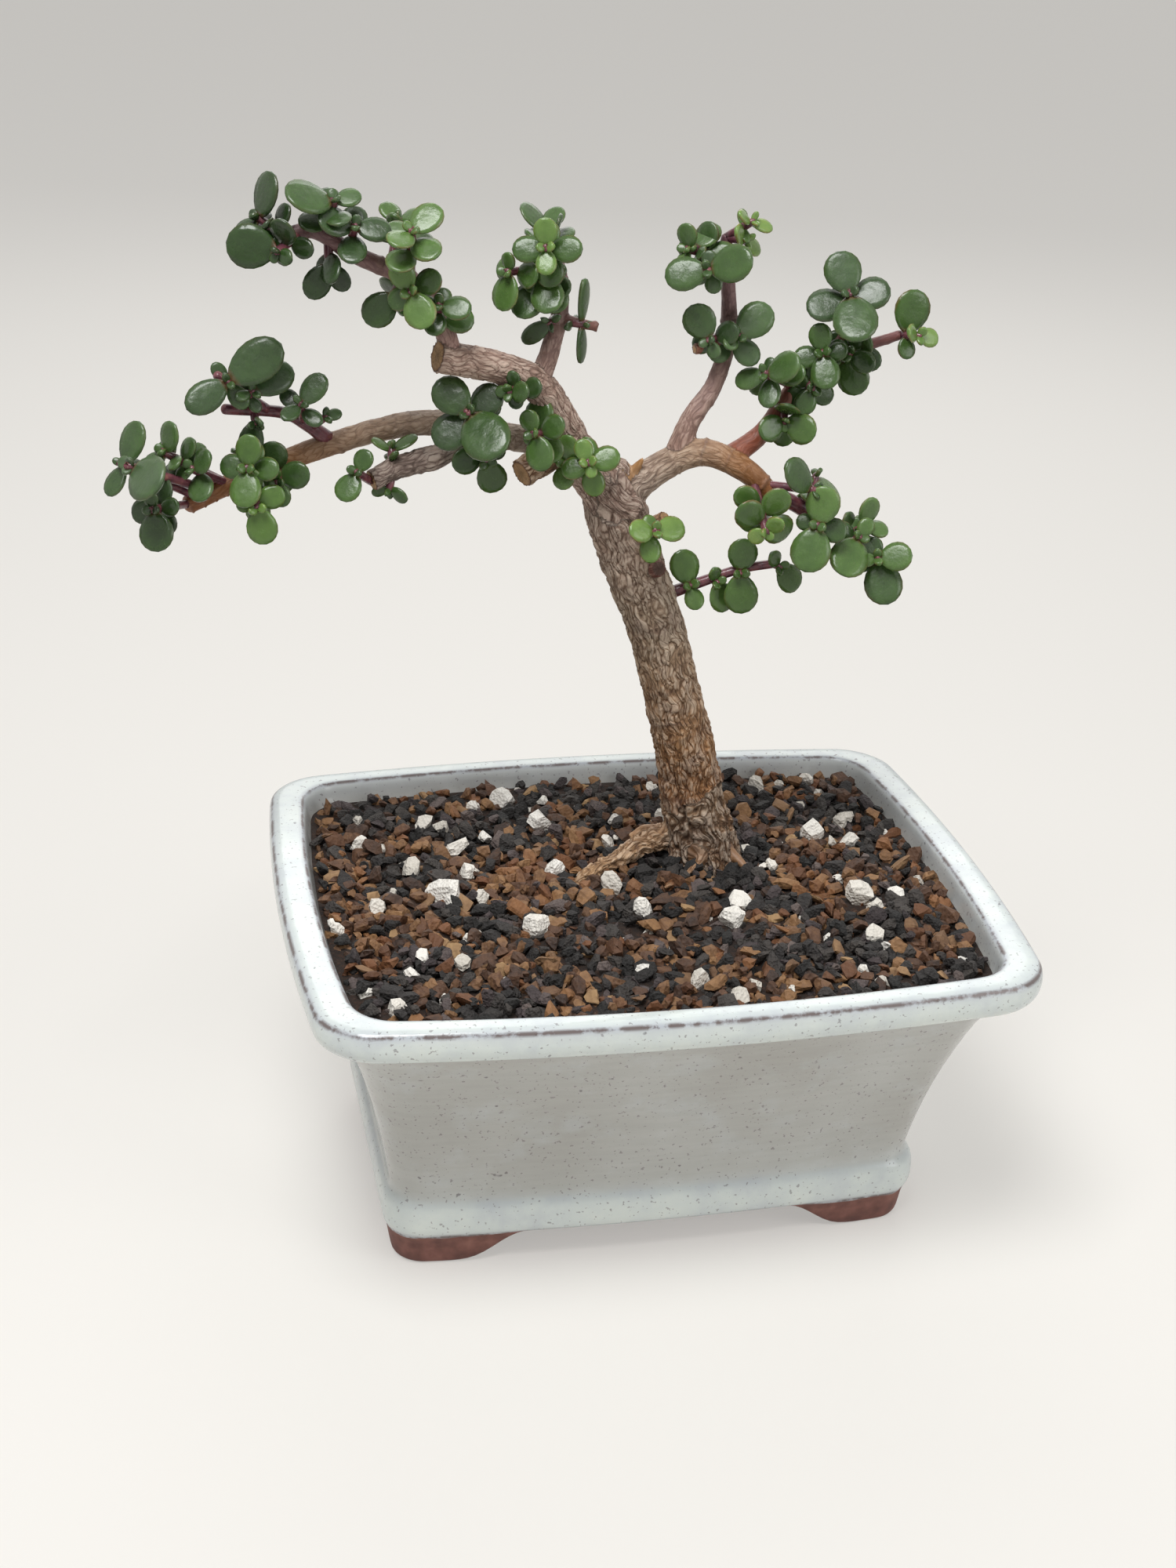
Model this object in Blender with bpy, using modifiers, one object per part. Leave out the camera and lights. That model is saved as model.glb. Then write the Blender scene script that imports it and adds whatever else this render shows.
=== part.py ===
"""Dwarf jade bonsai (Portulacaria afra) in a glazed rectangular pot.

Units are metres, +Z is up. The bonsai stands on the plane z = 0 and faces -Y.
Every plan dimension below is in millimetres from the centre of the pot's footprint,
with X along the pot's long side; POT_CENTRE moves the whole plant so that the world
origin is the middle of its bounding box, on the ground.
"""
import math
import random
from collections import namedtuple

import bmesh
import bpy
from mathutils import Vector
from mathutils.bvhtree import BVHTree

MM = 0.001
POT_CENTRE = (21.4, 0.0)         # mm, the pot's centre in world coordinates
GAP = 0.3                        # mm left between pieces that touch

# Pot: half lengths and half widths are at the corners, the sides bow outward from there.
POT_HEIGHT = 97.7
RIM_HALF = (100.0, 78.0)
RIM_BOW = (4.6, 6.1)
LIP_HEIGHT = 11.0
RIM_FLAT = (9.5, 7.0)            # width of the flat top of the rim, along X and Y
BASE_HALF = (79.3, 49.6)
BASE_BOW = (0.0, 3.5)
BAND_HEIGHT = 10.5               # thick glaze band above the feet
FOOT_HEIGHT = 11.2
FOOT_WIDTH = 9.0
FOOT_INSET = 1.5                 # how much the feet taper in towards the ground
FOOT_RUN = (57.0, 38.0)          # long side: the foot's sweep starts and ends at these x
FOOT_RUN_SHORT = (31.0, 16.0)    # short side: the same along y
FLOOR_TOP = 17.5
HOLE_RADIUS = 9.0
HOLE_X = 38.0
CORNER_STEPS = 4
SIDE_STEPS = 4

# Growing mix and drainage
SOIL_TOP = 91.0
SOIL_UNEVEN = 1.2
SCREEN_SIZE = 30.0
SCREEN_CELLS = 5
SCREEN_THICK = 1.0
CLIP_RADIUS = 0.7
CLIP_REACH = 14.0
RELIEF = (34.0, 22.6)            # space left in the mix over a screen: width, top height

# Wood: (x, y, z, radius) along each limb
WOOD = {
    "trunk": [(27, 20, 80, 9.5), (26, 20, 91, 11.0), (23, 20, 105, 9.8), (19, 20, 124, 8.9),
              (11, 19, 153, 8.2), (5, 18, 172, 8.2), (-1, 17, 186, 8.5), (-7, 16, 203, 8.6),
              (-10, 16, 213, 7.6)],
    "left_limb": [(-8, 16, 207, 7.2), (-19, 15, 220, 5.8), (-24, 14, 230, 4.9), (-32, 12, 241, 4.6),
                  (-41, 10, 246, 4.3), (-60, 6, 251, 4.3)],
    "right_limb": [(-8, 16, 204, 6.5), (-1, 16, 212, 4.8), (9, 14, 219, 4.1), (17, 12, 221, 3.8),
                   (27, 8, 217, 3.4), (35, 5, 210, 2.7)],
    "left_branch": [(-22, 16, 224, 4.2), (-37, 24, 223, 3.8), (-55, 29, 226, 3.5), (-72, 30, 224, 3.3),
                    (-93, 29, 218, 3.1), (-110, 27, 212, 2.9), (-124, 25, 206, 2.6)],
    "left_stub": [(-45, 26, 225, 3.4), (-56, 22, 219, 3.3), (-67, 19, 217, 3.2), (-76, 16, 214, 3.1)],
    "sawn_stub": [(-24, 15, 222, 4.2), (-36, 9, 217, 4.0)],
    "upper_left_stem": [(-56, 7, 250, 3.2), (-59, 6, 261, 2.6), (-66, 7, 270, 2.5), (-81, 8, 277, 2.3),
                        (-91, 8, 283, 2.1), (-99, 8, 282, 1.8)],
    "top_stem": [(-32, 12, 239, 3.2), (-28, 14, 250, 2.6), (-25, 17, 260, 2.3), (-25, 19, 269, 1.9),
                 (-27, 19, 276, 1.5)],
    "right_top_stem": [(8, 14, 218, 3.4), (12, 15, 229, 3.0), (18, 17, 237, 2.6), (22, 19, 247, 2.4),
                       (23, 21, 257, 2.3), (21, 22, 278, 1.5)],
    "right_stem": [(22, 11, 219, 3.4), (33, 14, 226, 2.7), (42, 18, 237, 2.3), (52, 20, 246, 2.1),
                   (58, 21, 254, 1.9), (58, 21, 260, 1.6)],
    "right_tip_stem": [(51, 20, 245, 1.9), (63, 21, 248, 1.6), (73, 21, 251, 1.4)],
    "surface_root": [(20, 22, 99, 4.6), (8, 20, 97, 3.3), (-4, 14, 94, 2.5), (-16, 8, 91, 1.7)],
    "root_left": [(24, 20, 84, 5.0), (8, 26, 76, 3.2), (-10, 30, 68, 2.0)],
    "root_front": [(27, 17, 84, 5.0), (33, 0, 75, 3.0), (36, -18, 66, 1.9)],
    "root_back": [(29, 23, 84, 5.0), (42, 34, 74, 3.0), (54, 42, 64, 1.9)],
}
THICK_WOOD = ("trunk", "left_limb", "right_limb", "left_branch")

# Thin leafy twigs: (x, y, z, radius). Each is part of the piece that its name starts with.
TWIGS = {
    "left_twig": [(-86, 29, 222, 2.2), (-92, 27, 227, 1.9), (-99, 25, 231, 1.7), (-114, 22, 233, 1.5)],
    "left_twig_fork": [(-103, 24, 232, 1.6), (-110, 21, 238, 1.4), (-116, 19, 243, 1.3)],
    "low_right_twig": [(33, 6, 211, 2.4), (42, 7, 207, 2.2), (51, 8, 200, 1.9), (61, 6, 193, 1.6),
                       (66, 3, 191, 1.3)],
    "trunk_side_shoot": [(8, 20, 176, 2.0), (20, 18, 181, 1.6), (30, 16, 185, 1.4), (39, 14, 187, 1.3)],
}

# A leafy shoot is a short stem with opposite pairs of leaves, each pair a quarter turn from
# the one before. It grows from the middle of a limb: share is how far along the limb it
# starts, and reach is how far right, back and up its tip lies from there. turn is the angle
# of the last pair about the stem. pairs holds the two leaf lengths of every pair, from the
# base to the tip (0 is a lost leaf). lift is how far the last pair leans towards the tip,
# face is how strongly the blades turn to the light, and internode is the space between pairs.
Shoot = namedtuple("Shoot", "node limb share reach turn pairs lift face internode",
                   defaults=(12, 1.0, 2.6))
SHOOTS = [
    Shoot("upper_left_tip", "upper_left_stem", 0.93, (-6, -7, -3), 165, ((5, 8.5), (13, 5)), 20),
    Shoot("upper_left_outer", "upper_left_stem", 1.0, (-6, 0, 4), 90, ((6, 6), (12, 7)), 25),
    Shoot("upper_left_crown", "upper_left_stem", 0.8, (1, -4, 10), 180, ((8, 8), (13, 7)), 15),
    Shoot("upper_left_front", "upper_left_stem", 0.7, (1, -6, 7), 165, ((10, 9),)),
    Shoot("upper_left_under", "upper_left_stem", 0.8, (0, -1, -6), 0, ((8, 10),), 55),
    Shoot("upper_left_inner", "upper_left_stem", 0.4, (-1, -8, 14), 50, ((8, 9), (10, 8.5)), 15),
    Shoot("upper_left_back", "upper_left_stem", 0.5, (3, 6, 11), 0, ((6, 6), (7, 6)), 40),
    Shoot("upper_left_face", "upper_left_stem", 0.35, (-3, -7, 1), 120, ((8.5, 10),)),
    Shoot("upper_left_root", "upper_left_stem", 0.2, (-1, -5, 4), -10, ((6, 7), (8.5, 5)), 10),
    Shoot("upper_left_low", "upper_left_stem", 0.45, (-1, 2, -5), 0, ((10.5, 8),), 45),
    Shoot("left_twig", "left_twig_fork", 0.8, (0, -3, 1), 35, ((6, 8), (17, 13)), 8, 0.4),
    Shoot("left_twig", "left_twig_fork", 0.4, (1, -3, 2), 20, ((6, 5), (13, 5)), 8, 0.5),
    Shoot("left_twig", "left_twig", 0.75, (0, -2, -2), 255, ((11, 5),), 40),
    Shoot("left_twig", "left_twig", 0.3, (-1, -8, 7), 50, ((7, 7), (10, 7)), 15),
    Shoot("left_twig", "left_twig", 0.2, (3, -5, 4), 0, ((5, 5),), 20),
    Shoot("left_middle_front", "left_branch", 0.8, (-5, -14, 5), 90, ((8, 8), (9, 10.5))),
    Shoot("left_middle_hanging", "left_branch", 0.84, (1, -17, -3), 105, ((5, 8), (0, 10.5))),
    Shoot("left_middle_inner", "left_branch", 0.75, (-2, -10, -2), 105, ((5, 9), (5, 7)), 15),
    Shoot("left_middle_back", "left_branch", 0.8, (-5, 3, 4), 75, ((5, 5), (6, 5)), 10),
    Shoot("left_tip_end", "left_branch", 0.97, (-20, -10, 13), 90, ((7, 7), (12, 9)), 8, 1, 6),
    Shoot("left_tip_front", "left_branch", 0.93, (-22, -18, 13), -10, ((15, 4.5),)),
    Shoot("left_tip_upper", "left_branch", 0.89, (-17, -6, 11), 75, ((7, 6), (9, 7)), 20),
    Shoot("left_tip_upper", "left_branch", 0.89, (-10, -8, 7), 40, ((8, 5),)),
    Shoot("left_tip_lower", "left_branch", 1.0, (-10, -16, 4), -75, ((6, 8), (11, 5))),
    Shoot("left_stub_end", "left_stub", 1.0, (-4, -5, 4), 80, ((6.5, 8.5),), 5),
    Shoot("left_stub_upper", "left_stub", 0.8, (0, 2, 5), 0, ((5, 6), (6, 8)), 30),
    Shoot("left_stub_lower", "left_stub", 0.8, (-1, -2, -4), 0, ((6, 5),), 30),
    Shoot("centre_rosette", "left_branch", 0.2, (-10, -21, 12), 140, ((8, 8), (12, 10.5), (12, 16))),
    Shoot("centre_upper", "left_limb", 0.6, (-7, -8, 0), 10, ((5, 5), (7, 4)), 20),
    Shoot("centre_right", "left_limb", 0.35, (-11, -12, 3), -60, ((8, 5), (10, 6.5))),
    Shoot("centre_lower", "left_branch", 0.25, (2, -12, -5), -70, ((6, 9), (10, 7)), 15),
    Shoot("fork_rosette", "left_limb", 0.15, (-4, -14, 7), 110, ((7.5, 8.5), (6.5, 4)), 5),
    Shoot("fork_lower", "left_limb", 0.2, (-6, -7, 2), 90, ((8, 7),), 15),
    Shoot("top_rosette", "top_stem", 0.94, (-6, -17, 6), 95, ((9, 9), (7.5, 7)), 15),
    Shoot("top_back", "top_stem", 1.0, (-1, 2, 4), 0, ((8, 8), (10, 8)), 45),
    Shoot("top_drooping", "top_stem", 0.87, (-15, -10, 1), -90, ((10, 5),), 10, 0.5),
    Shoot("top_middle", "top_stem", 0.72, (-7, -10, 6), -60, ((6, 6), (11, 5))),
    Shoot("top_middle", "top_stem", 0.72, (-6, -6, 4), -105, ((12, 5),)),
    Shoot("top_side", "top_stem", 0.5, (6, -3, 0), 90, ((5, 6), (12, 10.5)), 5, 0.3),
    Shoot("top_lower", "top_stem", 0.55, (-3, -4, -1), -140, ((10, 4),), 10, 0.6),
    Shoot("right_top_pair", "right_top_stem", 0.85, (-9, -13, 4), 20, ((5, 6), (13, 11.5))),
    Shoot("right_top_end", "right_top_stem", 1.0, (5, -5, 5), 150, ((5, 5), (6.5, 7)), 15),
    Shoot("right_top_end", "right_top_stem", 1.0, (4, -4, 0), -30, ((8, 9),), 10),
    Shoot("right_top_left", "right_top_stem", 0.92, (-12, -5, 3), 90, ((6, 5), (7, 5)), 20),
    Shoot("right_top_left", "right_top_stem", 0.92, (-10, -4, 3), 90, ((9, 0),), -35),
    Shoot("right_top_low_left", "right_top_stem", 0.6, (-7, -8, 0), 120, ((10.5, 5),)),
    Shoot("right_top_low_right", "right_top_stem", 0.55, (1, -7, 4), 35, ((5, 9), (12, 5))),
    Shoot("right_crown", "right_stem", 0.9, (-5, -12, 11), 110, ((12, 11), (12, 15))),
    Shoot("right_tip", "right_tip_stem", 1.0, (3, -5, 1), -15, ((12.5, 6.5), (7, 6)), 15, 1, 4),
    Shoot("right_middle", "right_stem", 0.7, (-4, -10, 4), 105, ((8, 10),)),
    Shoot("right_under", "right_tip_stem", 0.4, (-4, -8, 1), -20, ((8, 6), (8, 6)), 15),
    Shoot("right_under", "right_tip_stem", 0.4, (-5, -5, -1), -50, ((11, 5),), 10),
    Shoot("right_left_side", "right_stem", 0.5, (-11, -8, 6), 25, ((5, 9), (12, 9))),
    Shoot("right_low", "right_stem", 0.55, (0, -9, 0), -120, ((8, 5), (7.5, 5))),
    Shoot("right_root", "right_stem", 0.4, (-1, -6, -3), 0, ((10, 9),), 40),
    Shoot("trunk_rosette", "trunk", 0.85, (4, -15, 9), 175, ((8, 5), (8, 9)), 8),
    Shoot("trunk_side_shoot", "trunk_side_shoot", 0.25, (0, -2, 1), 105, ((10.5, 7),), 10),
    Shoot("trunk_side_shoot", "trunk_side_shoot", 0.45, (1, -2, 0), -65, ((10, 5),), 10),
    Shoot("trunk_side_shoot", "trunk_side_shoot", 0.7, (0, -2, 0), 90, ((10, 12),), 5),
    Shoot("trunk_side_shoot", "trunk_side_shoot", 1.0, (1, -2, 0), 130, ((6, 10),), 10),
    Shoot("low_right_rosette", "right_limb", 0.85, (0, -15, -10), 55, ((8, 9.5), (10, 11), (6, 5.5)), 7),
    Shoot("low_right_upper", "right_limb", 0.9, (12, -9, 1), 135, ((13, 6),), -20),
    Shoot("low_right_twig", "low_right_twig", 0.35, (3, 3, 9), 225, ((10, 5),), -25),
    Shoot("low_right_twig", "low_right_twig", 0.5, (-5, -13, 4), 80, ((6, 8), (11, 13)), 8),
    Shoot("low_right_twig", "low_right_twig", 0.75, (1, -7, 4), -125, ((7, 7), (13, 6))),
    Shoot("low_right_twig", "low_right_twig", 0.7, (6, -1, 4), 90, ((6, 6), (8.5, 7)), 45),
    Shoot("low_right_twig", "low_right_twig", 1.0, (-2, -6, 3), 15, ((6, 13), (9.5, 5)), 9),
]

SHOOT_RADIUS = 1.2
BUD = 1.2                        # mm of growing tip beyond the last pair
LIGHT = Vector((-0.25, -0.75, 0.6)).normalized()
LIFT_STEP = 8                    # degrees each older pair has opened beyond the next
LEAF_THICK = 0.16
PETIOLE = 0.32                   # mm from the stem's axis to the blade
SHORTEST_LEAF = 3.0
LEAF_STEP = 0.5                  # mm by which a leaf without room is made shorter


def clear_scene():
    for obj in list(bpy.data.objects):
        bpy.data.objects.remove(obj)


def collection(name):
    made = bpy.data.collections.new(name)
    bpy.context.scene.collection.children.link(made)
    return made


def material(name, colour, roughness):
    mat = bpy.data.materials.new(name)
    mat.use_nodes = True
    shader = mat.node_tree.nodes["Principled BSDF"]
    shader.inputs["Base Color"].default_value = (*colour, 1.0)
    shader.inputs["Roughness"].default_value = roughness
    shader.inputs["Metallic"].default_value = 0.0
    return mat


def mesh_object(name, bm, into):
    mesh = bpy.data.meshes.new(name)
    bm.to_mesh(mesh)
    bm.free()
    obj = bpy.data.objects.new(name, mesh)
    into.objects.link(obj)
    return obj


def finish(obj, mat, smooth=True):
    """Give the piece its material and shading, and hang it on the plant's empty."""
    obj.data.materials.clear()
    obj.data.materials.append(mat)
    if smooth:
        obj.data.shade_smooth()
        obj.data.set_sharp_from_angle(angle=math.radians(40))
    obj.parent = PLANT
    return obj


def boolean(target, tool, operation):
    """Apply one exact Boolean of tool on target; the tool stays for another use."""
    mod = target.modifiers.new(operation, "BOOLEAN")
    mod.object = tool
    mod.operation = operation
    mod.solver = "EXACT"
    depsgraph = bpy.context.evaluated_depsgraph_get()
    result = bpy.data.meshes.new_from_object(target.evaluated_get(depsgraph))
    target.modifiers.clear()
    target.data = result


def drop(*objects):
    for obj in objects:
        bpy.data.objects.remove(obj)


def keep_largest_body(obj):
    """Drop the slivers that a cut leaves, so that the piece is one closed body."""
    bm = bmesh.new()
    bm.from_mesh(obj.data)
    bmesh.ops.remove_doubles(bm, verts=bm.verts, dist=1e-6)
    bmesh.ops.dissolve_degenerate(bm, edges=bm.edges, dist=1e-6)
    todo = set(bm.verts)
    bodies = []
    while todo:
        stack = [todo.pop()]
        body = set(stack)
        while stack:
            for edge in stack.pop().link_edges:
                for vert in edge.verts:
                    if vert not in body:
                        body.add(vert)
                        stack.append(vert)
        todo -= body
        bodies.append(body)
    bodies.sort(key=len)
    for body in bodies[:-1]:
        bmesh.ops.delete(bm, geom=list(body), context="VERTS")
    bm.to_mesh(obj.data)
    bm.free()


def ring(half, corner, bow, z):
    """Points of a rounded rectangle with outward-bowed sides, counter-clockwise."""
    hx, hy = half
    centres = ((hx - corner, hy - corner, 0), (corner - hx, hy - corner, 90),
               (corner - hx, corner - hy, 180), (hx - corner, corner - hy, 270))
    outline = []
    for cx, cy, start in centres:
        for step in range(CORNER_STEPS + 1):
            angle = math.radians(start + 90 * step / CORNER_STEPS)
            outline.append(Vector((cx + corner * math.cos(angle), cy + corner * math.sin(angle))))
        cx2, cy2, start2 = centres[(start // 90 + 1) % 4]
        angle = math.radians(start2)
        here = outline[-1]
        there = Vector((cx2 + corner * math.cos(angle), cy2 + corner * math.sin(angle)))
        for step in range(1, SIDE_STEPS):
            outline.append(here.lerp(there, step / SIDE_STEPS))
    points = []
    for p in outline:
        x = p.x + math.copysign(bow[0], p.x) * max(0.0, 1 - (p.y / hy) ** 2) * abs(p.x) / hx
        y = p.y + math.copysign(bow[1], p.y) * max(0.0, 1 - (p.x / hx) ** 2) * abs(p.y) / hy
        points.append(Vector((x, y, z)) * MM)
    return points


def loft(name, rings, into):
    """Skin a closed body through rings of equal count, with both ends capped."""
    bm = bmesh.new()
    loops = [[bm.verts.new(p) for p in points] for points in rings]
    count = len(loops[0])
    for low, high in zip(loops, loops[1:]):
        for i in range(count):
            j = (i + 1) % count
            bm.faces.new((low[i], low[j], high[j], high[i]))
    bm.faces.new(reversed(loops[0]))
    bm.faces.new(loops[-1])
    bmesh.ops.recalc_face_normals(bm, faces=bm.faces)
    return mesh_object(name, bm, into)


def cylinder(name, radius, z_low, z_high, x, y, into):
    bm = bmesh.new()
    bmesh.ops.create_cone(bm, cap_ends=True, segments=24, radius1=radius * MM,
                          radius2=radius * MM, depth=(z_high - z_low) * MM)
    bmesh.ops.translate(bm, verts=bm.verts, vec=Vector((x, y, (z_low + z_high) / 2)) * MM)
    return mesh_object(name, bm, into)


def box(name, size, centre, into):
    bm = bmesh.new()
    bmesh.ops.create_cube(bm, size=1.0)
    bmesh.ops.scale(bm, verts=bm.verts, vec=Vector(size) * MM)
    bmesh.ops.translate(bm, verts=bm.verts, vec=Vector(centre) * MM)
    return mesh_object(name, bm, into)


def tube(name, route, into, extra=0.0, sides=2, steps=3):
    """A round limb along a smooth curve through (x, y, z, radius) points, as a closed mesh.

    extra makes it that much fatter and longer at both ends.
    """
    start, end = Vector(route[0][:3]), Vector(route[-1][:3])
    start += (start - Vector(route[1][:3])).normalized() * extra
    end += (end - Vector(route[-2][:3])).normalized() * extra
    route = [(*start, route[0][3]), *route[1:-1], (*end, route[-1][3])]
    data = bpy.data.curves.new(name, "CURVE")
    data.dimensions = "3D"
    data.bevel_depth = MM
    data.bevel_resolution = sides
    data.resolution_u = steps
    data.use_fill_caps = True
    spline = data.splines.new("BEZIER")
    spline.bezier_points.add(len(route) - 1)
    for point, (x, y, z, radius) in zip(spline.bezier_points, route):
        point.co = Vector((x, y, z)) * MM
        point.radius = radius + extra
        point.handle_left_type = "AUTO"
        point.handle_right_type = "AUTO"
    curve = bpy.data.objects.new(name, data)
    into.objects.link(curve)
    depsgraph = bpy.context.evaluated_depsgraph_get()
    mesh = bpy.data.meshes.new_from_object(curve.evaluated_get(depsgraph))
    bpy.data.objects.remove(curve)
    bm = bmesh.new()
    bm.from_mesh(mesh)
    bmesh.ops.remove_doubles(bm, verts=bm.verts, dist=1e-6)
    bmesh.ops.recalc_face_normals(bm, faces=bm.faces)
    return mesh_object(name, bm, into)


def inner_wall():
    """(half size, corner radius, bow, z) of the pot's inside, from the rim down to the floor."""
    rim = (RIM_HALF[0] - RIM_FLAT[0], RIM_HALF[1] - RIM_FLAT[1])
    return [(rim, 10, RIM_BOW, POT_HEIGHT - 0.4),
            ((rim[0] - 1.2, rim[1] - 1.2), 9, RIM_BOW, POT_HEIGHT - 2.2),
            ((rim[0] - 2.2, rim[1] - 2.2), 9, RIM_BOW, SOIL_TOP),
            ((85.8, 65.3), 8, (4.2, 5.8), 87),
            ((81.5, 59.5), 7, (3.2, 5.2), 78),
            ((77.0, 53.0), 7, (2.0, 4.6), 63),
            ((73.5, 47.0), 6, (1.0, 4.0), 42),
            ((71.0, 42.5), 6, (0.0, 3.5), 22),
            ((68.0, 39.5), 5, (0.0, 3.0), FLOOR_TOP)]


def outer_wall():
    """(half size, corner radius, bow, z) of the outside, from the ground up to the rim's top."""
    bx, by = BASE_HALF
    rx, ry = RIM_HALF
    foot = (bx - 1.5, by - 1.5)
    return [((foot[0] - FOOT_INSET, foot[1] - FOOT_INSET), 8, BASE_BOW, 0.0),
            (foot, 9, BASE_BOW, FOOT_HEIGHT - 1.0),
            ((bx, by), 10, BASE_BOW, FOOT_HEIGHT),
            ((bx + 0.2, by + 0.2), 10, BASE_BOW, FOOT_HEIGHT + BAND_HEIGHT - 3),
            ((bx - 2.0, by - 1.8), 10, BASE_BOW, FOOT_HEIGHT + BAND_HEIGHT),
            ((78.8, 50.6), 10, (0.6, 4.0), 36),
            ((81.3, 54.8), 11, (1.4, 4.4), 50),
            ((84.5, 59.8), 11, (2.4, 4.9), 64),
            ((88.3, 65.0), 12, (3.4, 5.3), 77),
            ((92.5, 70.3), 12, (4.2, 5.8), POT_HEIGHT - LIP_HEIGHT),
            ((rx - 2.0, ry - 2.0), 13, RIM_BOW, POT_HEIGHT - LIP_HEIGHT + 1.2),
            ((rx - 0.4, ry - 0.4), 13.5, RIM_BOW, POT_HEIGHT - LIP_HEIGHT + 4),
            ((rx, ry), 13.5, RIM_BOW, POT_HEIGHT - 5),
            ((rx - 0.4, ry - 0.4), 13.5, RIM_BOW, POT_HEIGHT - 2.2),
            ((rx - 2.5, ry - 2.5), 12, RIM_BOW, POT_HEIGHT)]


def foot_gap(name, run, length, along_y, into):
    """Cutter that opens the skirt under one pair of sides and leaves the swept feet."""
    start, end = run
    steps = 6
    side = []
    for step in range(steps + 1):
        t = step / steps
        rise = FOOT_HEIGHT * (0.5 - 0.5 * math.cos(math.pi * t))
        side.append((start + (end - start) * t, rise))
    outline = [(start, -1.0)] + side
    outline += [(-x, z) for x, z in reversed(outline)]
    data = bpy.data.curves.new(name, "CURVE")
    data.dimensions = "2D"
    data.fill_mode = "BOTH"
    data.extrude = length / 2 * MM
    spline = data.splines.new("POLY")
    spline.points.add(len(outline) - 1)
    for point, (x, z) in zip(spline.points, outline):
        point.co = (x * MM, z * MM, 0.0, 1.0)
    spline.use_cyclic_u = True
    curve = bpy.data.objects.new(name, data)
    curve.rotation_euler = (math.pi / 2, 0.0, math.pi / 2 if along_y else 0.0)
    into.objects.link(curve)
    bpy.context.view_layer.update()
    depsgraph = bpy.context.evaluated_depsgraph_get()
    mesh = bpy.data.meshes.new_from_object(curve.evaluated_get(depsgraph))
    mesh.transform(curve.matrix_world)
    bpy.data.objects.remove(curve)
    bm = bmesh.new()
    bm.from_mesh(mesh)
    bmesh.ops.remove_doubles(bm, verts=bm.verts, dist=1e-6)
    bmesh.ops.recalc_face_normals(bm, faces=bm.faces)
    return mesh_object(name, bm, into)


def build_pot(into, tools):
    """One fired piece: rolled lip, flared walls, glaze band, four corner feet, two drain holes."""
    foot_inner = (BASE_HALF[0] - FOOT_WIDTH, BASE_HALF[1] - FOOT_WIDTH)
    rings = [ring(*level) for level in reversed(inner_wall())]
    rings += [ring(*level) for level in reversed(outer_wall())]
    rings += [ring((foot_inner[0] - FOOT_INSET, foot_inner[1] - FOOT_INSET), 5, BASE_BOW, 0.0),
              ring(foot_inner, 5, BASE_BOW, FOOT_HEIGHT)]
    pot = loft("pot", rings, into)
    cutters = [foot_gap("long_side_gap", FOOT_RUN, 4 * RIM_HALF[1], False, tools),
               foot_gap("short_side_gap", FOOT_RUN_SHORT, 4 * RIM_HALF[0], True, tools)]
    cutters += [cylinder("drain_hole", HOLE_RADIUS, 0, FLOOR_TOP + 5, side * HOLE_X, 0, tools)
                for side in (-1, 1)]
    for cutter in cutters:
        boolean(pot, cutter, "DIFFERENCE")
    drop(*cutters)
    return finish(pot, material("glazed_stoneware", (0.56, 0.56, 0.53), 0.25))


def build_wood(into, tools, extra=0.0):
    """Trunk, limbs, stems and roots as one body; extra makes a fatter copy to cut seats with."""
    wood = None
    for name, route in WOOD.items():
        sides = 4 if name == "trunk" else 3 if name in THICK_WOOD else 2
        limb = tube(name, route, tools, extra, sides)
        if wood is None:
            wood = limb
            continue
        boolean(wood, limb, "UNION")
        drop(limb)
    wood.name = "trunk"
    tools.objects.unlink(wood)
    into.objects.link(wood)
    return wood


def build_soil(wood_seat, into, tools):
    """The block of gritty mix, a uniform gap inside the pot, with an uneven top."""
    rng = random.Random(4)
    levels = [level for level in inner_wall() if level[3] <= SOIL_TOP]
    rings = []
    for half, corner, bow, z in reversed(levels):
        floor_gap = GAP if z == FLOOR_TOP else 0.0
        rings.append(ring((half[0] - GAP, half[1] - GAP), corner, bow, z + floor_gap))
    half, corner, bow, _ = levels[0]
    for shrink in (5.0, 20.0, 40.0):
        points = ring((half[0] - shrink, half[1] - shrink), 4, bow, SOIL_TOP)
        rings.append([p + Vector((0, 0, rng.uniform(-1, 1) * SOIL_UNEVEN * MM)) for p in points])
    soil = loft("soil", rings, into)
    boolean(soil, wood_seat, "DIFFERENCE")
    width, top = RELIEF
    for side in (-1, 1):
        low = FLOOR_TOP - 1
        relief = box("relief", (width, width, top - low), (side * HOLE_X, 0, (top + low) / 2), tools)
        boolean(soil, relief, "DIFFERENCE")
        drop(relief)
    keep_largest_body(soil)
    return finish(soil, material("gritty_mix", (0.16, 0.09, 0.06), 0.95), smooth=False)


def build_screen(name, x, into):
    """A square of plastic drainage mesh that lies over one drain hole."""
    bm = bmesh.new()
    bmesh.ops.create_grid(bm, x_segments=SCREEN_CELLS, y_segments=SCREEN_CELLS,
                          size=SCREEN_SIZE / 2 * MM)
    z = FLOOR_TOP + GAP + SCREEN_THICK / 2
    bmesh.ops.translate(bm, verts=bm.verts, vec=Vector((x, 0, z)) * MM)
    screen = mesh_object(name, bm, into)
    frame = screen.modifiers.new("bars", "WIREFRAME")
    frame.thickness = SCREEN_THICK * MM
    frame.use_replace = True
    frame.use_even_offset = False
    frame.use_boundary = True
    return finish(screen, material("black_mesh", (0.02, 0.02, 0.02), 0.6), smooth=False)


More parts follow.
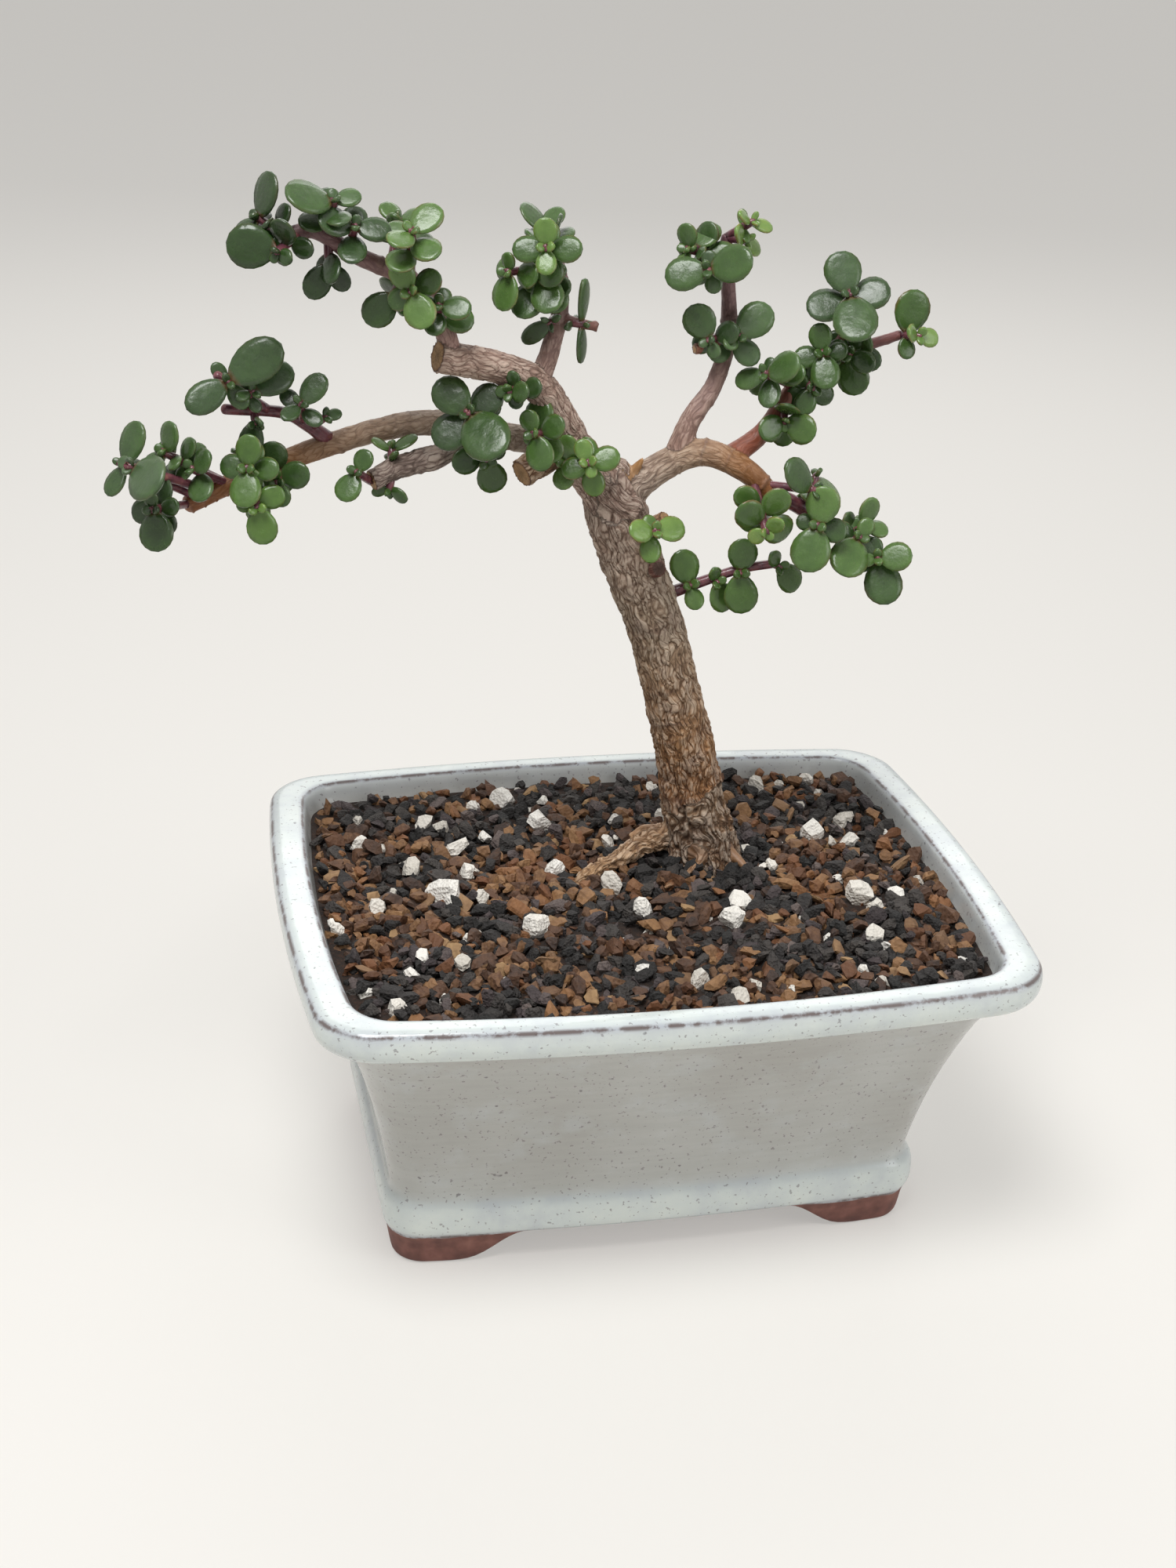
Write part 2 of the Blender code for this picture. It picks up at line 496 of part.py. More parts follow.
def build_clip(name, x, into):
    """The bent wire that holds a screen: over it, down the hole and out under the floor."""
    cell = SCREEN_SIZE / SCREEN_CELLS
    under = FOOT_HEIGHT - GAP - CLIP_RADIUS
    over = FLOOR_TOP + 2 * GAP + SCREEN_THICK + CLIP_RADIUS + 0.2
    route = [(-CLIP_REACH, under), (-cell, under), (-cell, over), (cell, over), (cell, under),
             (CLIP_REACH, under)]
    data = bpy.data.curves.new(name, "CURVE")
    data.dimensions = "3D"
    data.bevel_depth = CLIP_RADIUS * MM
    data.bevel_resolution = 2
    data.use_fill_caps = True
    spline = data.splines.new("POLY")
    spline.points.add(len(route) - 1)
    for point, (along, z) in zip(spline.points, route):
        point.co = ((x + along) * MM, 0.0, z * MM, 1.0)
    clip = bpy.data.objects.new(name, data)
    into.objects.link(clip)
    depsgraph = bpy.context.evaluated_depsgraph_get()
    mesh = bpy.data.meshes.new_from_object(clip.evaluated_get(depsgraph))
    bpy.data.objects.remove(clip)
    bm = bmesh.new()
    bm.from_mesh(mesh)
    bmesh.ops.remove_doubles(bm, verts=bm.verts, dist=1e-6)
    bmesh.ops.recalc_face_normals(bm, faces=bm.faces)
    return finish(mesh_object(name, bm, into), material("aluminium_wire", (0.35, 0.33, 0.3), 0.4))


def place_along(limb, share):
    """The point that far along the middle of a limb, as a share of its length."""
    points = [Vector(point[:3]) for point in {**WOOD, **TWIGS}[limb]]
    left = share * sum((end - start).length for start, end in zip(points, points[1:]))
    for start, end in zip(points, points[1:]):
        length = (end - start).length
        if left <= length:
            return start.lerp(end, left / length)
        left -= length
    return points[-1]


def ends_of(shoot):
    base = place_along(shoot.limb, shoot.share)
    return base, base + Vector(shoot.reach)


def surface(obj):
    """The faces of an object, as a tree that can be tested against others."""
    bm = bmesh.new()
    bm.from_mesh(obj.data)
    tree = BVHTree.FromBMesh(bm)
    bm.free()
    return tree


def leaf(length, start, direction, up, into, extra=0.0):
    """A plump rounded blade from start along direction, with its upper face towards up.

    extra makes it that much fatter all round, to test how close it comes to others.
    """
    side = direction.cross(up)
    bm = bmesh.new()
    bmesh.ops.create_uvsphere(bm, u_segments=8, v_segments=3, radius=0.55)
    for vert in bm.verts:
        along, across, through = vert.co
        spread = vert.co.normalized() * extra
        narrowing = 0.80 + 0.34 * along
        vert.co = (direction * ((along + 0.5) * length + spread.x)
                   + side * (across * narrowing * length + spread.y)
                   + up * (through * max(LEAF_THICK * length, 1.6) + spread.z)) * MM + start
    bmesh.ops.recalc_face_normals(bm, faces=bm.faces)
    return mesh_object("leaf", bm, into)


def leaf_with_room(node, length, start, direction, up, taken, into):
    """The longest leaf, up to length, that keeps the gap to every other piece, or None."""
    while length >= SHORTEST_LEAF:
        fatter = leaf(length, start, direction, up, into, extra=GAP)
        reach = surface(fatter)
        drop(fatter)
        if not any(owner != node and reach.overlap(other) for owner, other in taken):
            made = leaf(length, start, direction, up, into)
            taken.append((node, surface(made)))
            return made
        length -= LEAF_STEP
    return None


def shoot_stems(name, taken, into):
    """The twigs and shoot stems of one leafy piece."""
    routes = [route for twig, route in TWIGS.items() if twig.startswith(name)]
    stems = [tube(name, route, into, steps=2) for route in routes]
    for shoot in (shoot for shoot in SHOOTS if shoot.node == name):
        base, tip = ends_of(shoot)
        bud = tip + (tip - base).normalized() * BUD
        route = [(*base, SHOOT_RADIUS), (*tip, SHOOT_RADIUS), (*bud, SHOOT_RADIUS / 2)]
        stems.append(tube(name, route, into, sides=1, steps=1))
    taken += [(name, surface(stem)) for stem in stems]
    return stems


def shoot_leaves(shoot, taken, into):
    """The opposite pairs of one shoot, each a quarter turn from the next."""
    base, tip = ends_of(shoot)
    axis = (tip - base).normalized()
    up = (Vector((0, 0, 1)) - axis * axis.z).normalized()
    out = up.cross(axis)
    made = []
    for age, pair in enumerate(reversed(shoot.pairs)):
        angle = math.radians(shoot.turn + 90 * age)
        radial = out * math.cos(angle) + up * math.sin(angle)
        lift = math.radians(shoot.lift - LIFT_STEP * age)
        joint = tip - axis * min(shoot.internode * age, 0.9 * (tip - base).length)
        for sign, length in zip((1, -1), pair):
            direction = radial * (sign * math.cos(lift)) + axis * math.sin(lift)
            normal = axis + LIGHT * shoot.face
            normal = (normal - direction * direction.dot(normal)).normalized()
            start = (joint + direction * PETIOLE) * MM
            blade = leaf_with_room(shoot.node, length, start, direction, normal, taken, into)
            if blade:
                made.append(blade)
    return made


def build_leafy(name, stems, taken, wood_seat, into, tools):
    """Every stem and leaf of one leafy piece as one body, coped to sit against the wood."""
    bodies = list(stems)
    for shoot in (shoot for shoot in SHOOTS if shoot.node == name):
        bodies += shoot_leaves(shoot, taken, tools)
    piece = bodies[0]
    for body in bodies[1:]:
        boolean(piece, body, "UNION")
    drop(*bodies[1:])
    boolean(piece, wood_seat, "DIFFERENCE")
    keep_largest_body(piece)
    tools.objects.unlink(piece)
    into.objects.link(piece)
    piece.name = name
    return finish(piece, material("leaf_" + name, (0.05, 0.17, 0.05), 0.3))


clear_scene()
PARTS = collection("dwarf_jade_bonsai")
TOOLS = collection("construction")
PLANT = bpy.data.objects.new("plant", None)
PARTS.objects.link(PLANT)
PLANT.location = (POT_CENTRE[0] * MM, POT_CENTRE[1] * MM, 0.0)

build_pot(PARTS, TOOLS)
seat = build_wood(TOOLS, TOOLS, extra=GAP)
seat.name = "wood_seat"
build_soil(seat, PARTS, TOOLS)
for label, place in (("left", -HOLE_X), ("right", HOLE_X)):
    build_screen("drain_screen_" + label, place, PARTS)
    build_clip("screen_clip_" + label, place, PARTS)
finish(build_wood(PARTS, TOOLS), material("bark", (0.24, 0.17, 0.12), 0.85))
places_taken = []                # (piece, surface) of every stem and leaf so far
leafy_pieces = dict.fromkeys(shoot.node for shoot in SHOOTS)
for label in leafy_pieces:
    leafy_pieces[label] = shoot_stems(label, places_taken, TOOLS)
for label, stems in leafy_pieces.items():
    build_leafy(label, stems, places_taken, seat, PARTS, TOOLS)
drop(seat)
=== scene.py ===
import math
import random
from collections import namedtuple
from functools import partial

import bmesh
import bpy
from mathutils import Matrix, Vector, kdtree, noise


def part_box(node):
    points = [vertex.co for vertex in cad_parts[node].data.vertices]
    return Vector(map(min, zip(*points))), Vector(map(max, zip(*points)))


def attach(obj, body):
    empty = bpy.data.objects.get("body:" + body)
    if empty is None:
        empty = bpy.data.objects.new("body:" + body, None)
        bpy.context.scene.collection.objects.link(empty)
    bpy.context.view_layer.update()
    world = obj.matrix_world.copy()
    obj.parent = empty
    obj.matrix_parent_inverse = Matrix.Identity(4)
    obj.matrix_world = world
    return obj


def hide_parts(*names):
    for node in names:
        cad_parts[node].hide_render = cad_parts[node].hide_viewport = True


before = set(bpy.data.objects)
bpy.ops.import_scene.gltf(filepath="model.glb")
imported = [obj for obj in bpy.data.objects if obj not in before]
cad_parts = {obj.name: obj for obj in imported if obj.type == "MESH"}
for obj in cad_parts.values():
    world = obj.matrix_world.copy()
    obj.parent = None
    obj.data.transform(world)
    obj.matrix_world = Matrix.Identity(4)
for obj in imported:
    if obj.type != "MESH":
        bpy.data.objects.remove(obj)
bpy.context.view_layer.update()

scene = bpy.context.scene
scene.view_settings.view_transform = "Standard"


# Camera: a little above the plant and left of its front, about 0.7 m away. Every plan size
# in this file is in millimetres from the centre of the pot's footprint.
pot_low, pot_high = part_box("pot")
POT_CENTRE = (pot_low + pot_high) / 2


def at(x, y, z):
    return Vector((POT_CENTRE.x + x / 1000, POT_CENTRE.y + y / 1000, z / 1000))


CAMERA_PLACE = (-148.66, -571.96, 406.20)
CAMERA_TURN = (64.56, -2.364, -11.987)       # degrees
bpy.ops.object.camera_add(location=at(*CAMERA_PLACE),
                          rotation=[math.radians(angle) for angle in CAMERA_TURN])
scene.camera = bpy.context.object
scene.camera.data.lens = 52.11
scene.camera.data.sensor_width = 36.0
scene.camera.data.clip_start = 0.01


# Studio: a matt pale sheet of paper under the plant, a broad soft lamp from the upper left
# and two weaker ones that open the shadows on the right and behind.
def linear(hex_colour):
    """An sRGB hex colour as the linear RGBA that shaders take."""
    channels = [int(hex_colour[i:i + 2], 16) / 255 for i in (1, 3, 5)]
    return (*[c / 12.92 if c <= 0.04045 else ((c + 0.055) / 1.055) ** 2.4 for c in channels], 1.0)


def plug(node, inputs):
    """Give each input another node's output, a number, a vector or a hex colour."""
    for name, value in inputs.items():
        if isinstance(value, bpy.types.NodeSocket):
            node.id_data.links.new(value, node.inputs[name])
        else:
            node.inputs[name].default_value = linear(value) if isinstance(value, str) else value


def add(tree, kind, inputs=(), out=0, stops=(), **settings):
    """Add one node with its settings and links, and give back one of its outputs."""
    node = tree.nodes.new("ShaderNode" + kind)
    for name, value in settings.items():
        setattr(node, name, value)
    plug(node, dict(inputs))
    for index, (position, value) in enumerate(stops):
        ramp = node.color_ramp.elements
        element = ramp[index] if index < len(ramp) else ramp.new(position)
        element.position = position
        element.color = linear(value) if isinstance(value, str) else (value, value, value, 1)
    return node.outputs[out]


def new_material(name):
    """A material, its Principled shader, and a function that adds one node to it."""
    made = bpy.data.materials.new(name)
    made.use_nodes = True
    return made, made.node_tree.nodes["Principled BSDF"], partial(add, made.node_tree)


def seen_directly(tree):
    """1 for rays from the camera or by way of gloss and glass, else 0."""
    direct = add(tree, "LightPath", out="Is Camera Ray")
    glossy = add(tree, "LightPath", out="Is Glossy Ray")
    through = add(tree, "LightPath", out="Is Transmission Ray")
    either = add(tree, "Math", {0: direct, 1: glossy}, operation="MAXIMUM")
    return add(tree, "Math", {0: either, 1: through}, operation="MAXIMUM")


bpy.ops.mesh.primitive_plane_add(size=14, location=(0, 0, 0))
floor = bpy.context.object
floor.name = "floor"
paper, shader, node = new_material("matt_backdrop_paper")
plug(shader, {"Base Color": "#E9E6E0", "Roughness": 0.9})
glow = node("Emission", {"Color": "#F1EFEB", "Strength": 1.0})
share = node("Math", {0: seen_directly(paper.node_tree), 1: 0.45}, operation="MULTIPLY")
both = node("MixShader", {0: share, 1: shader.outputs[0], 2: glow})
plug(paper.node_tree.nodes["Material Output"], {"Surface": both})
floor.data.materials.append(paper)

world = bpy.data.worlds.new("pale_room")
world.use_nodes = True
scene.world = world
tree = world.node_tree
lighting = add(tree, "Background", {"Color": "#F4F2F0", "Strength": 0.3})
shown = add(tree, "Background", {"Color": "#F1EFEB", "Strength": 1.0})
both = add(tree, "MixShader", {0: seen_directly(tree), 1: lighting, 2: shown})
plug(tree.nodes["World Output"], {"Surface": both})

for name, place, aim, size, power in (
        ("key", (-300, -380, 1150), (0, 0, 120), 0.5, 12.0),
        ("fill", (850, -700, 650), (0, 0, 130), 0.6, 3.5),
        ("back", (200, 900, 800), (0, 0, 150), 0.8, 3.5)):
    bpy.ops.object.light_add(type="AREA", location=at(*place))
    lamp = bpy.context.object
    lamp.name = name
    lamp.rotation_euler = (at(*aim) - at(*place)).to_track_quat("-Z", "Y").to_euler()
    lamp.data.size = size
    lamp.data.energy = power


# Pot: one slab-built and fired stoneware piece with a rolled lip, flared walls, a thick band
# above four swept corner feet and two drain holes. It was dipped in a grey-white ash glaze
# that runs thin and dark on the edges, pools pale on lip and band, and stops at the feet.
FOOT_HEIGHT = 11.2
LIP_TOP = 97.7
CORNER_STEPS, LONG_STEPS, SHORT_STEPS = 8, 28, 22
FOOT_SWEEP_LONG, FOOT_SWEEP_SHORT = (57.0, 38.0), (31.0, 16.0)   # where a foot starts and ends
HOLE_OFFSET, HOLE_RADIUS = 38, 9             # drain holes, from the pot's centre


def rounded_ring(half, corner, bow, z, sweep=0.0):
    """A rounded rectangle with bowed sides; sweep lifts its sides between the feet by that much."""
    hx, hy = half

    def on_corner(quarter, share):
        sx, sy = ((1, 1), (-1, 1), (-1, -1), (1, -1))[quarter % 4]
        angle = math.radians(90 * (quarter + share))
        return (Vector((sx * (hx - corner), sy * (hy - corner)))
                + corner * Vector((math.cos(angle), math.sin(angle))))

    outline = []
    for quarter in range(4):
        outline += [on_corner(quarter, step / CORNER_STEPS) for step in range(CORNER_STEPS + 1)]
        steps = LONG_STEPS if quarter % 2 == 0 else SHORT_STEPS
        here, there = outline[-1], on_corner(quarter + 1, 0)
        outline += [here.lerp(there, step / steps) for step in range(1, steps)]
    points = []
    for p in outline:
        x = p.x + math.copysign(bow[0], p.x) * max(0, 1 - (p.y / hy) ** 2) * abs(p.x) / hx
        y = p.y + math.copysign(bow[1], p.y) * max(0, 1 - (p.x / hx) ** 2) * abs(p.y) / hy
        on_long_side = abs(p.y) / hy > abs(p.x) / hx
        place = abs(p.x) if on_long_side else abs(p.y)
        start, end = FOOT_SWEEP_LONG if on_long_side else FOOT_SWEEP_SHORT
        share = min(max((start - place) / (start - end), 0), 1)
        points.append(at(x, y, z + sweep * (0.5 - 0.5 * math.cos(math.pi * share))))
    return points


def extrude_through(name, rings, marks=None):
    """Add a filled circle and extrude it through rings of points. marks gives each ring's
    values for named attributes on its points."""
    bpy.ops.object.select_all(action="DESELECT")
    bpy.ops.mesh.primitive_circle_add(vertices=len(rings[0]), fill_type="NGON")
    made = bpy.context.object
    made.name = name
    made.location = (0, 0, 0)
    bpy.ops.object.mode_set(mode="EDIT")
    bpy.ops.mesh.select_all(action="SELECT")
    mesh = bmesh.from_edit_mesh(made.data)
    order = mesh.verts.layers.int.new("order")
    layers = {key: mesh.verts.layers.float.new(key) for key in (marks or {})}
    for index, vert in enumerate(mesh.verts):
        vert[order] = index
    for level, ring in enumerate(rings):
        if level:
            bpy.ops.mesh.extrude_region_move()
            mesh = bmesh.from_edit_mesh(made.data)
            order = mesh.verts.layers.int["order"]
            layers = {key: mesh.verts.layers.float[key] for key in layers}
        for vert in mesh.verts:
            if vert.select:
                vert.co = ring[vert[order]]
                for key, layer in layers.items():
                    vert[layer] = marks[key][level]
        bmesh.update_edit_mesh(made.data)
    bpy.ops.mesh.select_all(action="SELECT")
    bpy.ops.mesh.normals_make_consistent(inside=False)
    bpy.ops.object.mode_set(mode="OBJECT")
    made.data.attributes.remove(made.data.attributes["order"])
    return made


def select(active, *others):
    """Select these objects and nothing else, the first one active."""
    bpy.ops.object.select_all(action="DESELECT")
    for obj in (active, *others):
        obj.select_set(True)
    bpy.context.view_layer.objects.active = active


def apply_modifier(obj, kind, **settings):
    select(obj)
    modifier = obj.modifiers.new(kind.lower(), kind)
    for name, value in settings.items():
        setattr(modifier, name, value)
    bpy.ops.object.modifier_apply(modifier=modifier.name)


RIM_BOW, BASE_BOW = (4.6, 6.1), (0.0, 3.5)
# half size, corner radius, bow, height, sweep, thin dark glaze, thick pale glaze, bare clay
profile = [
    ((60.0, 32.0), 4, (0.0, 2.5), 17.5, 0, 0, 0, 1),
    ((68.0, 39.5), 5, (0.0, 3.0), 17.5, 0, 0, 0, 1),
    ((71.0, 42.5), 6, (0.0, 3.5), 22.0, 0, 0, 0, 1),
    ((73.5, 47.0), 6, (1.0, 4.0), 42.0, 0, 0, 0, 1),
    ((77.0, 53.0), 7, (2.0, 4.6), 63.0, 0, 0, 0, 1),
    ((81.5, 59.5), 7, (3.2, 5.2), 78.0, 0, 0, 0, 1),
    ((85.8, 65.3), 8, (4.2, 5.8), 87.0, 0, 0, 0, 1),
    ((88.3, 68.8), 9, RIM_BOW, 91.0, 0, 0, 0, 0),
    ((89.0, 69.5), 9, RIM_BOW, 94.6, 0, 0.25, 0.2, 0),
    ((89.5, 70.0), 9.4, RIM_BOW, 96.4, 0, 0.25, 0.5, 0),
    ((90.2, 70.7), 10, RIM_BOW, 97.3, 0, 1, 0.5, 0),
    ((91.4, 71.8), 10.6, RIM_BOW, 97.62, 0, 0.05, 1, 0),
    ((94.0, 73.6), 11.4, RIM_BOW, LIP_TOP, 0, 0, 1, 0),
    ((96.8, 75.2), 12.2, RIM_BOW, 97.65, 0, 0.0, 1, 0),
    ((98.3, 76.4), 12.8, RIM_BOW, 97.3, 0, 0.3, 0.9, 0),
    ((99.2, 77.3), 13.2, RIM_BOW, 96.5, 0, 1, 0.4, 0),
    ((99.8, 77.8), 13.5, RIM_BOW, 95.2, 0, 0.2, 0.8, 0),
    ((100.0, 78.0), 13.5, RIM_BOW, 93.0, 0, 0, 1, 0),
    ((99.7, 77.7), 13.5, RIM_BOW, 90.6, 0, 0, 1, 0),
    ((99.0, 77.0), 13.3, RIM_BOW, 88.8, 0, 0.0, 0.9, 0),
    ((97.6, 75.6), 13, RIM_BOW, 87.6, 0, 0.25, 0.5, 0),
    ((95.3, 73.2), 12.5, (4.4, 5.9), 86.9, 0, 0.75, 0, 0),
    ((93.2, 71.0), 12, (4.2, 5.8), 86.2, 0, 0.15, 0, 0),
    ((91.8, 69.3), 12, (4.1, 5.7), 84.4, 0, 0, 0, 0),
    ((88.3, 65.0), 12, (3.4, 5.3), 77.0, 0, 0, 0, 0),
    ((84.5, 59.8), 11, (2.4, 4.9), 64.0, 0, 0, 0, 0),
    ((81.3, 54.8), 11, (1.4, 4.4), 50.0, 0, 0, 0, 0),
    ((78.8, 50.6), 10, (0.6, 4.0), 36.0, 0, 0, 0, 0),
    ((77.4, 48.2), 10, (0.2, 3.6), 25.0, 0, 0, 0.1, 0),
    ((77.3, 47.8), 10, BASE_BOW, 22.4, 0, 0.15, 0.4, 0),
    ((78.2, 48.6), 10, BASE_BOW, 21.4, 0, 0.35, 0.9, 0),
    ((79.2, 49.6), 10, BASE_BOW, 20.2, 0, 0.1, 1, 0),
    ((79.6, 49.9), 10, BASE_BOW, 17.6, 0, 0, 1, 0),
    ((79.6, 49.9), 10, BASE_BOW, 14.2, 0, 0, 1, 0),
    ((79.3, 49.6), 10, BASE_BOW, 12.0, 0, 0.15, 1, 0),
    ((78.5, 48.8), 9.4, BASE_BOW, 10.9, 0.25, 0.9, 0.2, 0.4),
    ((77.7, 48.0), 9, BASE_BOW, 8.0, 2.7, 0.2, 0, 1),
    ((77.2, 47.5), 8.6, BASE_BOW, 4.0, 6.6, 0, 0, 1),
    ((76.8, 47.1), 8.3, BASE_BOW, 1.2, 9.4, 0, 0, 1),
    ((76.0, 46.3), 8, BASE_BOW, 0.15, 10.3, 0, 0, 1),
    ((74.8, 45.1), 7.4, BASE_BOW, 0.0, 10.4, 0, 0, 1),
    ((69.8, 40.1), 5, BASE_BOW, 0.0, 10.5, 0, 0, 1),
    ((69.0, 39.3), 5, BASE_BOW, 0.6, 10.0, 0, 0, 1),
    ((69.6, 39.9), 5, BASE_BOW, 6.0, 5.0, 0, 0, 1),
    ((70.0, 40.3), 5, BASE_BOW, FOOT_HEIGHT, 0, 0, 0, 1),
    ((60.0, 30.0), 4, BASE_BOW, FOOT_HEIGHT, 0, 0, 0, 1),
]
pot = extrude_through("pot_body", [rounded_ring(*level[:5]) for level in profile],
                      {"glaze_break": [level[5] for level in profile],
                       "glaze_pool": [level[6] for level in profile],
                       "bare_clay": [level[7] for level in profile]})
apply_modifier(pot, "SUBSURF", levels=1, render_levels=1)
for side in (-1, 1):
    bpy.ops.mesh.primitive_cylinder_add(vertices=48, radius=HOLE_RADIUS / 1000, depth=0.03,
                                        location=at(side * HOLE_OFFSET, 0, 14))
    cutter = bpy.context.object
    apply_modifier(pot, "BOOLEAN", object=cutter, operation="DIFFERENCE", solver="EXACT")
    bpy.data.objects.remove(cutter)
bpy.ops.object.shade_smooth_by_angle(angle=math.radians(40))

# Ash glaze over iron-bearing stoneware, dipped and fired: milky and slightly satin, with fine
# iron specks, faint brush marks, and a purple-brown body showing where it runs thin.
glaze, shader, node = new_material("dipped_ash_glaze_stoneware")
place = node("TexCoord", out="Object")
edges, pools, clay_shown = [node("Attribute", out="Fac", attribute_name=name)
                            for name in ("glaze_break", "glaze_pool", "bare_clay")]
clouds = node("TexNoise", {"Vector": place, "Scale": 1000 / 45, "Detail": 3.0}, "Fac")
body = node("ValToRGB", {0: clouds}, stops=((0.3, "#A7A6A1"), (0.5, "#AEAEAA"), (0.72, "#B6B7B4")))
drawn = node("Mapping", {"Vector": place, "Scale": (1, 1, 9)})
brush = node("TexNoise", {"Vector": drawn, "Scale": 1000 / 17, "Detail": 3.0}, "Fac")
brush = node("ValToRGB", {0: brush}, stops=((0.35, 0.93), (0.65, 1.0)))
body = node("Mix", {0: 0.7, 6: body, 7: brush}, 2, data_type="RGBA", blend_type="MULTIPLY")
milk = node("TexNoise", {"Vector": place, "Scale": 1000 / 14, "Detail": 5.0, "Roughness": 0.6}, "Fac")
milky = node("ValToRGB", {0: milk}, stops=((0.52, 0.0), (0.72, 0.28)))
body = node("Mix", {0: milky, 6: body, 7: "#C3CBD0"}, 2, data_type="RGBA")
pooled = node("ValToRGB", {0: milk}, stops=((0.3, "#C6CDD0"), (0.5, "#D2DAD8"), (0.7, "#DAE1DC")))
colour = node("Mix", {0: pools, 6: body, 7: pooled}, 2, data_type="RGBA")
greyer = node("Math", {0: edges, 1: 0.6}, operation="MULTIPLY")
colour = node("Mix", {0: greyer, 6: colour, 7: "#A9B0BE"}, 2, data_type="RGBA")
for size_mm, at_least, strength, dark in ((1.1, 0.66, 0.5, "#5F5358"), (3.0, 0.74, 0.6, "#4B4048")):
    speck = node("TexNoise", {"Vector": place, "Scale": 1000 / size_mm, "Detail": 1.5}, "Fac")
    speck = node("ValToRGB", {0: speck}, stops=((at_least, 0.0), (at_least + 0.04, strength)))
    colour = node("Mix", {0: speck, 6: colour, 7: dark}, 2, data_type="RGBA")
runs = node("TexNoise", {"Vector": place, "Scale": 1000 / 6, "Detail": 4.0, "Roughness": 0.65}, "Fac")
runs = node("ValToRGB", {0: runs}, stops=((0.36, 0.4), (0.55, 1.0)))
thin = node("Math", {0: edges, 1: runs}, operation="MULTIPLY")
thin = node("ValToRGB", {0: thin}, stops=((0.42, 0.0), (0.85, 0.85)))
colour = node("Mix", {0: thin, 6: colour, 7: "#57443E"}, 2, data_type="RGBA")
grains = node("TexNoise", {"Vector": place, "Scale": 1000 / 4.5, "Detail": 5.0}, "Fac")
clay = node("ValToRGB", {0: grains}, stops=((0.3, "#5E3C36"), (0.55, "#794F46"), (0.75, "#8B6055")))
line = node("TexNoise", {"Vector": place, "Scale": 1000 / 8, "Detail": 4.0}, "Fac")
line = node("MapRange", {"Value": line, 1: 0.0, 2: 1.0, 3: -0.25, 4: 0.25})
bare = node("Math", {0: clay_shown, 1: line}, operation="ADD")
bare = node("ValToRGB", {0: bare}, stops=((0.46, 0.0), (0.54, 1.0)))
colour = node("Mix", {0: bare, 6: colour, 7: clay}, 2, data_type="RGBA")
sheen = node("TexNoise", {"Vector": place, "Scale": 1000 / 11}, "Fac")
sheen = node("MapRange", {"Value": sheen, 1: 0.3, 2: 0.7, 3: 0.13, 4: 0.23})
roughness = node("Mix", {0: bare, 2: sheen, 3: 0.7})
waves = node("TexNoise", {"Vector": place, "Scale": 1000 / 25, "Detail": 2.0}, "Fac")
orange_peel = node("TexNoise", {"Vector": place, "Scale": 1000 / 2.4, "Detail": 3.0}, "Fac")
height = node("Math", {0: orange_peel, 1: 0.16, 2: waves}, operation="MULTIPLY_ADD")
bump = node("Bump", {"Height": height, "Strength": 0.5, "Distance": 0.0011})
plug(shader, {"Base Color": colour, "Roughness": roughness, "Normal": bump})
pot.data.materials.append(glaze)
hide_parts("pot")
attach(pot, "root")


# Growing mix: loose gritty bonsai substrate poured in dry: baked red-brown clay, black and
# purple-grey lava, tan bark chips and white pumice, 2 to 8 mm, over darker fines. The solid
# block of mix stays below as the fines; the grit that shows is laid over it in two layers.
fines, shader, node = new_material("damp_dark_fines")
place = node("TexCoord", out="Object")
grain = node("TexNoise", {"Vector": place, "Scale": 1000 / 1.4, "Detail": 4.0, "Roughness": 0.7}, "Fac")
colour = node("ValToRGB", {0: grain}, stops=((0.3, "#120D0A"), (0.55, "#2A1C14"), (0.75, "#4A3022")))
bump = node("Bump", {"Height": grain, "Strength": 0.9, "Distance": 0.001})
plug(shader, {"Base Color": colour, "Roughness": 0.95, "Normal": bump})
mix_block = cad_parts["soil"]
mix_block.data.materials.clear()
mix_block.data.materials.append(fines)

MIX_TOP = 91.0
MIX_HALF, MIX_CORNER = (88.2, 68.6), 9       # the pot's inside at the mix's height
rng = random.Random(11)


def crushed_stone(seed, cuts, flatness):
    """One stone about 1 across: a subdivided cube rounded off, then broken along flat planes."""
    chooser = random.Random(seed)
    bpy.ops.object.select_all(action="DESELECT")
    bpy.ops.mesh.primitive_cube_add(size=1)
    stone = bpy.context.object
    bpy.ops.object.mode_set(mode="EDIT")
    bpy.ops.mesh.select_all(action="SELECT")
    bpy.ops.mesh.subdivide(number_cuts=1)
    bpy.ops.transform.tosphere(value=0.75)
    bpy.ops.object.mode_set(mode="OBJECT")
    planes = [(Vector([chooser.gauss(0, 1) for _ in "xyz"]).normalized(),
               chooser.uniform(0.24, 0.4)) for _ in range(cuts)]
    for vert in stone.data.vertices:
        co = vert.co * chooser.uniform(0.84, 1.12)
        for normal, depth in planes:
            co -= normal * max(0.0, co.dot(normal) - depth)
        vert.co = (co.x, co.y * chooser.uniform(0.95, 1.0), co.z * flatness)
    mesh = stone.data.copy()
    bpy.data.objects.remove(stone)
    return mesh


def mark(mesh, values):
    """Give every point of a mesh the same value of each named attribute."""
    for key, value in values.items():
        marks = mesh.attributes.new(key, "FLOAT", "POINT")
        marks.data.foreach_set("value", [value] * len(mesh.vertices))


